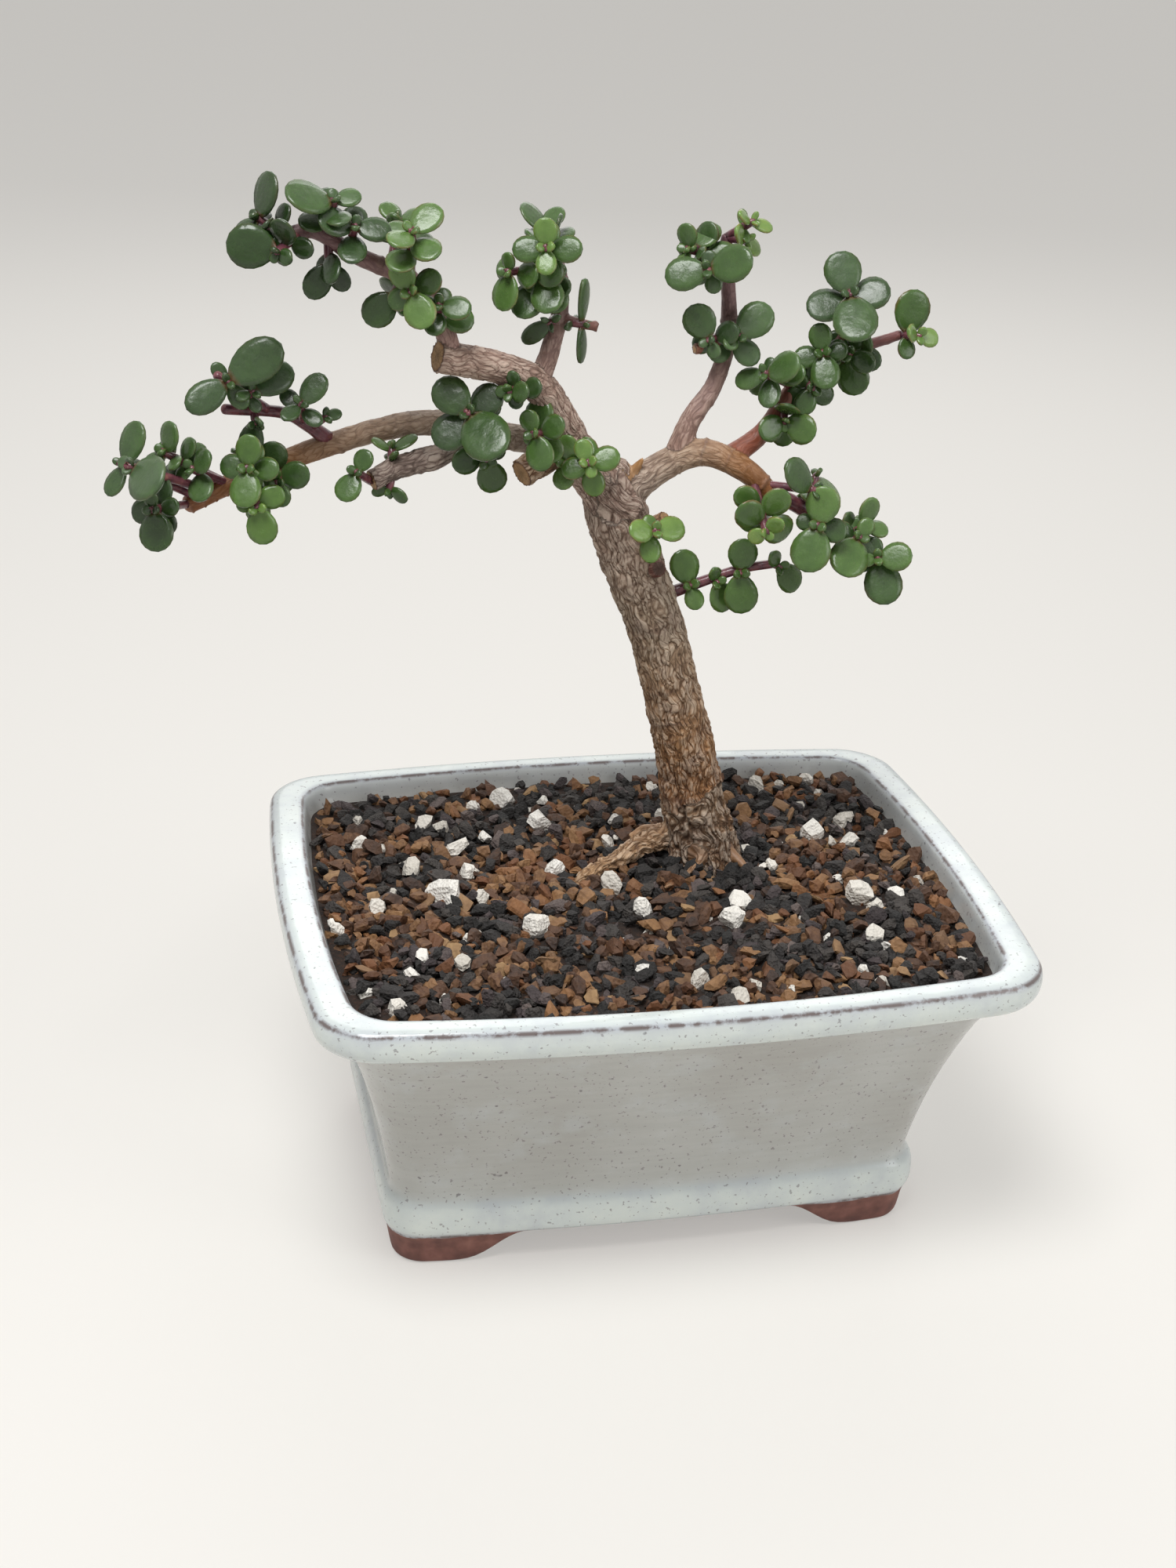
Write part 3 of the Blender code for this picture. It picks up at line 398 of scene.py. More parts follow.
def joined_copies(name, copies):
    """One piece made of placed copies, each with its own mesh: (mesh, matrix, {attribute: value})."""
    placed = []
    for shape, matrix, values in copies:
        copy = bpy.data.objects.new(name, shape.copy())
        scene.collection.objects.link(copy)
        copy.data.transform(matrix)
        mark(copy.data, values)
        placed.append(copy)
    select(placed[-1], *placed[:-1])
    bpy.ops.object.join()
    made = bpy.context.object
    made.name = name
    return made


def inside_rim(x, y, margin):
    """Whether a place on the mix is at least margin inside the bowed, rounded wall."""
    hx, hy = [half - margin for half in MIX_HALF]
    x0 = abs(x) - RIM_BOW[0] * max(0, 1 - (y / hy) ** 2)
    y0 = abs(y) - RIM_BOW[1] * max(0, 1 - (x / hx) ** 2)
    over = [max(x0 - (hx - MIX_CORNER), 0), max(y0 - (hy - MIX_CORNER), 0)]
    return math.hypot(*over) <= MIX_CORNER


def laid(shape, x, y, z, size, tilt=0.5):
    """A stone turned, tilted and stretched by chance, as joined_copies takes it."""
    turn = Matrix.Rotation(rng.uniform(0, math.tau), 4, "Z") @ Matrix.Rotation(
        rng.gauss(0, tilt), 4, "X") @ Matrix.Rotation(rng.gauss(0, tilt), 4, "Y")
    scale = Matrix.Diagonal((size * rng.uniform(0.85, 1.25), size, size * rng.uniform(0.75, 1.05), 1))
    return (shape, Matrix.Translation(at(x, y, z)) @ turn @ scale,
            {"tone": rng.random(), "hue": rng.random()})


stone_shapes = [crushed_stone(seed, 7, 0.8) for seed in range(14)]
chip_shapes = [crushed_stone(seed, 5, 0.45) for seed in range(30, 36)]
pumice_shapes = [crushed_stone(seed, 3, 0.9) for seed in range(50, 56)]
TRUNK_FOOT = Vector((26, 20))
LARGE_PUMICE, LARGE_PUMICE_APART = 28, 11    # how many larger white pieces, and their spacing


def on_root(x, y):
    """Whether a place lies in the bed of the root that runs over the mix."""
    return -20 < x < 20 and abs((y - 8) - (x + 16) * 0.37) < 4


grit = {"baked_clay": [], "black_lava": [], "purple_lava": [], "bark_chips": [], "pumice": []}
taken = []
while len(taken) < LARGE_PUMICE:
    x, y, size = rng.uniform(-92, 92), rng.uniform(-72, 72), rng.triangular(4.0, 8.5, 6.0)
    apart = all(math.hypot(x - a, y - b) > LARGE_PUMICE_APART for a, b, _ in taken)
    from_trunk = (Vector((x, y)) - TRUNK_FOOT).length
    if apart and from_trunk > 20 and inside_rim(x, y, size) and not on_root(x, y):
        taken.append((x, y, size * 0.5))
        top = 92.6 + size * 0.12
        grit["pumice"].append(laid(rng.choice(pumice_shapes), x, y, top, size / 1000, 0.8))
for layer, spacing, heights in ((0, 3.6, (-0.4, 1.0)), (1, 4.4, (1.5, 2.9))):
    rows = int(150 / spacing)
    for row in range(-rows, rows + 1):
        for column in range(-rows, rows + 1):
            x = (column + 0.5 * (row % 2)) * spacing + rng.uniform(-0.45, 0.45) * spacing
            y = row * spacing * 0.87 + rng.uniform(-0.45, 0.45) * spacing
            size = rng.triangular(2.4, 7.0, 4.1) * (1.0 if layer else 0.95)
            if not inside_rim(x, y, size * 0.5):
                continue
            from_trunk = (Vector((x, y)) - TRUNK_FOOT).length
            if from_trunk < 9.5 + size * 0.35:
                continue
            if layer and (rng.random() < 0.28 or any(
                    math.hypot(x - a, y - b) < r + size * 0.4 for a, b, r in taken)):
                continue
            if layer and on_root(x, y):
                continue
            patch = noise.noise(Vector((x * 0.055, y * 0.055, 3.7)))
            dark = 0.56 + 1.0 * patch + (0.35 if from_trunk < 20 else 0)
            z = MIX_TOP + rng.uniform(*heights)
            pick = rng.random()
            if pick < 0.03:
                kind, shapes, size = "pumice", pumice_shapes, size * 0.75
            elif pick < 0.075:
                kind, shapes, size = "bark_chips", chip_shapes, size * 1.05
            elif rng.random() < dark:
                kind, shapes = ("purple_lava" if rng.random() < 0.2 else "black_lava"), stone_shapes
            else:
                kind, shapes = "baked_clay", stone_shapes
            grit[kind].append(laid(rng.choice(shapes), x, y, z, size / 1000))

# What each kind of grit gives the eye: dark, middle and light colour, how matt it is, the
# size of its pores in mm and how deep they look.
GRIT_LOOKS = {
    "baked_clay": ("#2B1C14", "#573B28", "#8E6A46", 0.72, 1.1, 0.5),
    "black_lava": ("#121110", "#262322", "#45403C", 0.82, 0.8, 0.9),
    "purple_lava": ("#2C2627", "#4A4141", "#6A5E59", 0.85, 0.8, 0.9),
    "bark_chips": ("#5E4430", "#846649", "#A88860", 0.8, 1.4, 0.5),
    "pumice": ("#C9C3B8", "#E4DFD5", "#F2EFE8", 0.9, 0.9, 0.8),
}
for kind, copies in grit.items():
    piece = joined_copies("grit_" + kind, copies)
    dark, middle, light, roughness, pore_mm, depth = GRIT_LOOKS[kind]
    stone, shader, node = new_material("crushed_" + kind)
    place = node("TexCoord", out="Object")
    tone = node("Attribute", out="Fac", attribute_name="tone")
    mottled = node("TexNoise", {"Vector": place, "Scale": 1000 / (2 * pore_mm), "Detail": 4.0,
                                "Roughness": 0.65}, "Fac")
    level = node("Math", {0: mottled, 1: 0.55}, operation="MULTIPLY")
    level = node("Math", {0: tone, 1: 0.6, 2: level}, operation="MULTIPLY_ADD")
    colour = node("ValToRGB", {0: level}, stops=((0.27, dark), (0.58, middle), (0.92, light)))
    if kind == "baked_clay":
        hue = node("Attribute", out="Fac", attribute_name="hue")
        orange = node("ValToRGB", {0: hue}, stops=((0.66, 0.0), (0.9, 0.45)))
        colour = node("Mix", {0: orange, 6: colour, 7: "#82502A"}, 2, data_type="RGBA")
    holes = node("TexVoronoi", {"Vector": place, "Scale": 1000 / pore_mm}, "Distance")
    height = node("Math", {0: holes, 1: mottled}, operation="ADD")
    bump = node("Bump", {"Height": height, "Strength": depth, "Distance": 0.0006})
    plug(shader, {"Base Color": colour, "Roughness": roughness, "Normal": bump})
    piece.data.materials.append(stone)
    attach(piece, "root")


# Wood: trunk, limbs, stems and roots grown as one living body, leaning left from the mix.
# Old wood is grey-brown and split, young stems are purple, and stubs end in sawn faces.
# Each limb is (x, y, z, radius) along its middle.
WOOD = {
    "trunk": [(27, 20, 80, 9.5), (26, 20, 91, 11.0), (23, 20, 105, 9.8), (19, 20, 124, 8.9),
              (11, 19, 153, 8.2), (5, 18, 172, 8.2), (-1, 17, 186, 8.5), (-7, 16, 203, 8.6),
              (-10, 16, 213, 7.6)],
    "left_limb": [(-8, 16, 207, 7.2), (-19, 15, 220, 5.8), (-24, 14, 230, 4.9), (-32, 12, 241, 4.6),
                  (-41, 10, 246, 4.3), (-60, 6, 251, 4.3)],
    "right_limb": [(-8, 16, 204, 6.5), (-1, 16, 212, 4.8), (9, 14, 219, 4.1), (17, 12, 221, 3.8),
                   (27, 8, 217, 3.4), (35, 5, 210, 2.7)],
    "left_branch": [(-22, 16, 224, 4.2), (-37, 24, 223, 3.8), (-55, 29, 226, 3.5), (-72, 30, 224, 3.3),
                    (-93, 29, 218, 3.1), (-110, 27, 212, 2.9), (-124, 25, 206, 2.6)],
    "left_stub": [(-45, 26, 225, 3.4), (-56, 22, 219, 3.3), (-67, 19, 217, 3.2), (-76, 16, 214, 3.1)],
    "sawn_stub": [(-24, 15, 222, 4.2), (-36, 9, 217, 4.0)],
    "upper_left_stem": [(-56, 7, 250, 3.2), (-59, 6, 261, 2.6), (-66, 7, 270, 2.5), (-81, 8, 277, 2.3),
                        (-91, 8, 283, 2.1), (-99, 8, 282, 1.8)],
    "top_stem": [(-32, 12, 239, 3.2), (-28, 14, 250, 2.6), (-25, 17, 260, 2.3), (-25, 19, 269, 1.9),
                 (-27, 19, 276, 1.5)],
    "right_top_stem": [(8, 14, 218, 3.4), (12, 15, 229, 3.0), (18, 17, 237, 2.6), (22, 19, 247, 2.4),
                       (23, 21, 257, 2.3), (21, 22, 278, 1.5)],
    "right_stem": [(22, 11, 219, 3.4), (33, 14, 226, 2.7), (42, 18, 237, 2.3), (52, 20, 246, 2.1),
                   (58, 21, 254, 1.9), (58, 21, 260, 1.6)],
    "right_tip_stem": [(51, 20, 245, 1.9), (63, 21, 248, 1.6), (73, 21, 251, 1.4)],
    "surface_root": [(20, 22, 99, 4.6), (8, 20, 97, 3.3), (-4, 14, 94, 2.5), (-16, 8, 91, 1.7)],
    "root_left": [(24, 20, 84, 5.0), (8, 26, 76, 3.2), (-10, 30, 68, 2.0)],
    "root_front": [(27, 17, 84, 5.0), (33, 0, 75, 3.0), (36, -18, 66, 1.9)],
    "root_back": [(29, 23, 84, 5.0), (42, 34, 74, 3.0), (54, 42, 64, 1.9)],
}


def smooth_route(route, step=1.5):
    """Evenly spaced (centre, radius) samples along a smooth curve through (x, y, z, radius)."""
    knots = [Vector(point) for point in route]
    knots = [knots[0] * 2 - knots[1], *knots, knots[-1] * 2 - knots[-2]]
    samples = []
    for a, b, c, d in zip(knots, knots[1:], knots[2:], knots[3:]):
        parts = max(2, round((c - b).length / step))
        for part in range(parts):
            t = part / parts
            samples.append(0.5 * (2 * b + (c - a) * t + (2 * a - 5 * b + 4 * c - d) * t * t
                                  + (3 * b - a - 3 * c + d) * t ** 3))
    samples.append(knots[-2])
    return [(Vector(p[:3]), p[3]) for p in samples]


def frames_along(samples):
    """A steady sideways pair of directions at every sample, with the direction of growth."""
    frames = []
    side = None
    for index, (centre, _) in enumerate(samples):
        before = samples[max(index - 1, 0)][0]
        after = samples[min(index + 1, len(samples) - 1)][0]
        along = (after - before).normalized()
        side = (side or along.orthogonal()) - along * (side or along.orthogonal()).dot(along)
        side.normalize()
        frames.append((along, side, along.cross(side)))
    return frames


def limb(name, route, sides, step=1.5, rounded=0.0):
    """A closed round limb; rounded domes its far end by that share of its radius."""
    samples = smooth_route(route, step)
    frames = frames_along(samples)
    if rounded:
        centre, radius = samples[-1]
        along = frames[-1][0]
        for turn in (30, 60, 80):
            angle = math.radians(turn)
            samples.append((centre + along * radius * rounded * math.sin(angle),
                            radius * math.cos(angle)))
            frames.append(frames[-1])
    rings = []
    for (centre, radius), (_, side, other) in zip(samples, frames):
        ring = []
        for step_round in range(sides):
            angle = math.tau * step_round / sides
            ring.append(at(*(centre + radius * (side * math.cos(angle) + other * math.sin(angle)))))
        rings.append(ring)
    return extrude_through(name, rings)


# Spurs, old cuts, fine roots and the flare of the foot, in the same form
WOOD_DETAIL = {
    "scar_stub": [(2, 14, 187, 2.8), (3.5, 9.5, 188.5, 2.6), (4, 7.8, 189, 2.4)],
    "cut_stub": [(3, 15, 199, 2.6), (4.5, 11, 202, 2.3), (5.5, 9.5, 203.5, 2.1)],
    "top_spur": [(22, 19.5, 250.5, 1.9), (17, 17, 249.5, 1.7), (12, 16, 249, 1.5)],
    "stem_spur": [(-25, 16, 258, 1.6), (-20, 14, 257, 1.4), (-15, 14, 256, 1.3)],
    "flake": [(-4, 14, 215, 1.6), (-2, 12.5, 218.5, 0.9), (-1.5, 12, 219.5, 0.6)],
    "foot_root": [(25, 12, 97, 1.8), (20, 7, 94.5, 1.1), (14, 2, 93.2, 0.8), (9, -1, 92.4, 0.6)],
    "foot_root_right": [(32, 12, 96, 1.9), (35, 7, 94, 1.2), (36, 2, 92.6, 0.7)],
    "root_knuckle": [(13, 21, 99, 2.4), (8, 22, 101, 1.0), (3, 20, 99.5, 0.6)],
    "flare_left": [(21, 19, 110, 3.6), (19, 18, 100, 4.0), (18, 16.5, 90, 4.2)],
    "flare_front": [(24, 15, 114, 3.2), (27, 12.5, 102, 3.6), (29, 11, 90, 4.2)],
    "flare_right": [(27, 18, 112, 3.2), (31, 18, 100, 3.6), (33.5, 17, 90, 3.8)],
    "fork_burl": [(-4, 11, 205, 3.8), (-9, 10, 209, 4.0), (-13, 11, 213, 3.2)],
}
# Colours of the bark from the start to the end of each limb
BARK = {
    "trunk": ("#A26C3C", "#B48A5E", "#B6A48E", "#B8A298"), "left_limb": ("#B49C92", "#B89E92"),
    "right_limb": ("#B6A69C", "#B4A294", "#AA9078", "#96683A", "#8C5528"),
    "left_branch": ("#B6A696", "#B4A292", "#AE9680", "#94642F", "#8E5528"),
    "left_stub": ("#A2948C", "#8A7A74"), "sawn_stub": ("#A68C74", "#A48058"),
    "upper_left_stem": ("#9A7870", "#6E4A52"), "top_stem": ("#A08478", "#75505A"),
    "right_top_stem": ("#A88C80", "#68424F"), "right_stem": ("#8E4A2C", "#6C3C3A"),
    "right_tip_stem": ("#74423E", "#7E4848"), "surface_root": ("#BE9C78", "#CBA880"),
    "root_left": ("#6E5440", "#6E5440"), "root_front": ("#6E5440", "#6E5440"),
    "root_back": ("#6E5440", "#6E5440"), "scar_stub": ("#8C6A54", "#6E3A30"),
    "cut_stub": ("#A08270", "#B08A62"), "top_spur": ("#8A5A50", "#8A5A40"),
    "stem_spur": ("#7A504A", "#7A4E44"), "flake": ("#AA8660", "#B0824C"),
    "foot_root": ("#8E6A48", "#A57E58"), "foot_root_right": ("#8A6848", "#9A7452"),
    "root_knuckle": ("#8E6E50", "#B08A62"), "flare_left": ("#967C60", "#7C5C40"),
    "flare_front": ("#9A8064", "#82603F"), "flare_right": ("#96795A", "#8A6540"),
    "fork_burl": ("#B49E94", "#B49E94"),
}
# How old and split the bark is at the start and at the end of a limb, 0 for green stems
OLD_WOOD = {"trunk": (1.0, 0.75), "left_limb": (0.7, 0.55), "right_limb": (0.6, 0.05),
            "left_branch": (0.5, 0.08), "left_stub": (0.55, 0.6), "sawn_stub": (0.7, 0.8),
            "surface_root": (0.75, 0.75), "top_stem": (0.35, 0.1), "right_top_stem": (0.35, 0.05),
            "flare_left": (1.0, 1.0), "flare_front": (1.0, 1.0), "flare_right": (1.0, 1.0),
            "fork_burl": (0.8, 0.7), "foot_root": (0.5, 0.3), "root_knuckle": (0.5, 0.2),
            "upper_left_stem": (0.3, 0.05), "cut_stub": (0.5, 0.5), "scar_stub": (0.5, 0.3)}
CUT_ENDS = ("left_limb", "left_stub", "sawn_stub", "scar_stub", "cut_stub", "top_spur", "stem_spur")

pieces, places, whole_run = [], [], {}
for name, route in {**WOOD, **WOOD_DETAIL}.items():
    sides = 28 if name == "trunk" else 18
    pieces.append(limb("wood_" + name, route, sides, rounded=0.0 if name in CUT_ENDS else 0.8))
    samples = smooth_route(route, 1.0)
    run = 0.0
    for index, ((centre, radius), frame_here) in enumerate(zip(samples, frames_along(samples))):
        if index:
            run += (centre - samples[index - 1][0]).length
        places.append((name, centre, radius, frame_here, run))
    whole_run[name] = run
select(*pieces)
bpy.ops.object.join()
wood = bpy.context.object
wood.name = "wood"
apply_modifier(wood, "REMESH", mode="VOXEL", voxel_size=0.0005)
apply_modifier(wood, "SMOOTH", factor=0.5, iterations=2)

finder = kdtree.KDTree(len(places))
for index, (_, centre, _, _, _) in enumerate(places):
    finder.insert(centre, index)
finder.balance()
origin = at(0, 0, 0)


def bark_cell(co, across, along):
    """A place in a pattern of cells that many per mm across and along the wood."""
    return Vector((co.x * across, co.y * across, co.z * along))


PLATES, SLIVERS = (0.58, 0.055), (1.3, 0.12)     # plates are about 1.7 x 18 mm
grains, colours, furrows, wounds, ages, scars = [], [], [], [], [], []
normals = [vert.normal.copy() for vert in wood.data.vertices]
for vert, normal in zip(wood.data.vertices, normals):
    co = (vert.co - origin) * 1000
    best = min(((co - places[index][1]).length - places[index][2], index)
               for _, index, _ in finder.find_n(co, 10))[1]
    name, centre, radius, (along, side, other), run = places[best]
    offset = co - centre
    run += offset.dot(along)
    angle = math.atan2(offset.dot(other), offset.dot(side))
    share = min(max(run / whole_run[name], 0), 1)
    first, last = OLD_WOOD.get(name, (0.1, 0.05))
    age = first + (last - first) * share
    seed = 17.3 * len(name)
    wrap = Vector((math.cos(angle) * radius, math.sin(angle) * radius, 0))
    here = Vector((wrap.x, wrap.y, run + seed))
    warped = here + noise.noise_vector(here * 0.22) * 1.6
    plates, _ = noise.voronoi(bark_cell(warped, *PLATES))
    slivers, _ = noise.voronoi(bark_cell(warped, *SLIVERS))
    plate = min(1.0, (plates[1] - plates[0]) * 3.2)       # 0 in a furrow, 1 on a plate
    sliver = min(1.0, (slivers[1] - slivers[0]) * 2.6)
    lifted = noise.cell(bark_cell(warped, *PLATES))
    coarse = noise.noise(here * 0.13) + 0.5 * noise.noise(here * 0.33)
    gap = 8.0 + 5.0 * noise.noise(Vector((seed, 0.3, run * 0.02)))
    phase = (run + 1.6 * noise.noise(here * 0.18)) / gap
    scar = math.exp(-((phase - round(phase)) * gap / 0.5) ** 2) * max(
        0.0, 0.5 + noise.noise(here * 0.1) * 1.5)
    low = max(0.0, 1 - (co.z - 91) / 50) if name in ("trunk", "surface_root") or name.startswith(
        "flare") else 0.0
    height = age * ((0.55 + 0.5 * low) * (plate - 0.6) + 0.22 * (sliver - 0.6))
    height += age * (1.0 + 0.5 * low) * 0.75 * coarse + 0.25 * low * lifted
    height += 0.36 * (1 - 0.5 * age) * scar * (1 - low)
    wound = 0.0
    if name in CUT_ENDS:
        past = whole_run[name] - run
        across = (offset - along * offset.dot(along)).length
        if past < 0.35 and across < radius * 1.02:
            wound = 1.0 - 0.75 * max(0.0, across / radius - 0.72) / 0.28
            wound *= 0.25 if name == "scar_stub" else 1.0   # an old cut, dark and healed
            height = 0.1 * math.sin(across * 5) - 0.3
    vert.co += normal * (height / 1000)
    steps = [linear(value) for value in BARK[name]]
    if name == "trunk":
        share = min(max((co.z - 92) / 118, 0), 1)
    stop = min(int(share * (len(steps) - 1)), len(steps) - 2)
    part = share * (len(steps) - 1) - stop
    colours += [steps[stop][i] + (steps[stop + 1][i] - steps[stop][i]) * part
                for i in range(3)] + [1.0]
    grains += list(warped)
    furrows.append(min(max(plate * 0.62 + sliver * 0.38, 0), 1))
    wounds.append(wound)
    scars.append(scar)
    ages.append(age)
attributes = wood.data.attributes
attributes.new("grain", "FLOAT_VECTOR", "POINT").data.foreach_set("vector", grains)
attributes.new("bark_colour", "FLOAT_COLOR", "POINT").data.foreach_set("color", colours)
for name, values in (("ridge", furrows), ("wound", wounds), ("age", ages), ("scar", scars)):
    attributes.new(name, "FLOAT", "POINT").data.foreach_set("value", values)
select(wood)
bpy.ops.object.shade_smooth()

# Living bark: thin and satin on young purple stems, dry, grey and split into lengthwise
# plates on old wood, with pale ridges, brown furrows, and tan heartwood on the sawn ends.
# The pale ridges and brown furrows are partly the bark's own colour and partly painted
# highlight on the ridges and painted shade in the furrows.
# The grain attribute is in millimetres, so a pattern's scale is 1 over its size.
bark, shader, node = new_material("weathered_living_bark")
grain = node("Attribute", out="Vector", attribute_name="grain")
tint = node("Attribute", out="Color", attribute_name="bark_colour")
ridge, old, node_scar, sawn = [node("Attribute", out="Fac", attribute_name=name)
                               for name in ("ridge", "age", "scar", "wound")]
drawn = node("Mapping", {"Vector": grain, "Scale": (1, 1, 0.16)})
fibres = node("TexNoise", {"Vector": drawn, "Scale": 1 / 0.7, "Detail": 6.0, "Roughness": 0.7}, "Fac")
wide = node("Mapping", {"Vector": grain, "Scale": (1, 1, 0.6)})
mottle = node("TexNoise", {"Vector": wide, "Scale": 1 / 6, "Detail": 5.0, "Roughness": 0.62}, "Fac")
drawn = node("Mapping", {"Vector": grain, "Scale": (1, 1, 0.25)})
cracks = node("TexVoronoi", {"Vector": drawn, "Scale": 1 / 1.25}, "Distance",
              feature="DISTANCE_TO_EDGE")
cracks = node("ValToRGB", {0: cracks}, stops=((0.0, 0.0), (0.16, 1.0)))
relief = node("Math", {0: fibres, 1: 0.62}, operation="MULTIPLY")
relief = node("Math", {0: cracks, 1: 0.24, 2: relief}, operation="MULTIPLY_ADD")
relief = node("Math", {0: ridge, 1: 0.34, 2: relief}, operation="MULTIPLY_ADD")
# Darker in cracks and furrows, near white on ridges: bark colour with painted shade in the furrows
shade = node("ValToRGB", {0: relief}, stops=((0.38, "#7C6C60"), (0.62, "#CEC3BA"), (0.85, "#FFFAF4")))
smooth = node("ValToRGB", {0: mottle}, stops=((0.3, "#D6CCC6"), (0.7, "#FFFFFF")))
split = node("Math", {0: old, 1: 0.25}, operation="ADD", use_clamp=True)
shading = node("Mix", {0: split, 6: smooth, 7: shade}, 2, data_type="RGBA")
colour = node("Mix", {0: 1.0, 6: tint, 7: shading}, 2, data_type="RGBA", blend_type="MULTIPLY")
# Raised old bark turns pale: weathered flecks together with a painted highlight on the ridges
raised = node("Math", {0: relief, 1: mottle}, operation="ADD")
raised = node("MapRange", {"Value": raised, 1: 1.08, 2: 1.32, 3: 0.0, 4: 0.5})
pale = node("Math", {0: raised, 1: old}, operation="MULTIPLY")
stain = node("ValToRGB", {0: mottle}, stops=((0.56, 0.0), (0.66, 0.2)))
ring = node("Math", {0: node_scar, 1: 0.38}, operation="MULTIPLY")
cut = node("ValToRGB", {0: sawn}, stops=((0.25, "#412C20"), (0.6, "#85603F"), (1.0, "#A8845C")))
sawn = node("ValToRGB", {0: sawn}, stops=((0.05, 0.0), (0.3, 1.0)))
for cover, over in ((pale, "#D2C4B4"), (stain, "#6E4A3A"), (ring, "#5E463C"), (sawn, cut)):
    colour = node("Mix", {0: cover, 6: colour, 7: over}, 2, data_type="RGBA")
roughness = node("Math", {0: old, 1: 0.35, 2: 0.45}, operation="MULTIPLY_ADD")
height = node("Math", {0: relief, 1: old}, operation="MULTIPLY")
bump = node("Bump", {"Height": height, "Strength": 0.9, "Distance": 0.0016})
plug(shader, {"Base Color": colour, "Roughness": roughness, "Normal": bump})
wood.data.materials.append(bark)
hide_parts("trunk")
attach(wood, "root")


# Leafy shoots, one piece for each cluster, all grown from the wood: fleshy round leaves in
# opposite pairs on thin red-purple stems, each pair a quarter turn from the last. Four twigs
# are long enough to have a route of their own.
TWIGS = {
    "left_twig": [(-86, 29, 222, 2.2), (-92, 27, 227, 1.9), (-99, 25, 231, 1.7), (-114, 22, 233, 1.5)],
    "left_twig_fork": [(-103, 24, 232, 1.6), (-110, 21, 238, 1.4), (-116, 19, 243, 1.3)],
    "low_right_twig": [(33, 6, 211, 2.4), (42, 7, 207, 2.2), (51, 8, 200, 1.9), (61, 6, 193, 1.6),
                       (66, 3, 191, 1.3)],
    "trunk_side_shoot": [(8, 20, 176, 2.0), (20, 18, 181, 1.6), (30, 16, 185, 1.4), (39, 14, 187, 1.3)],
}

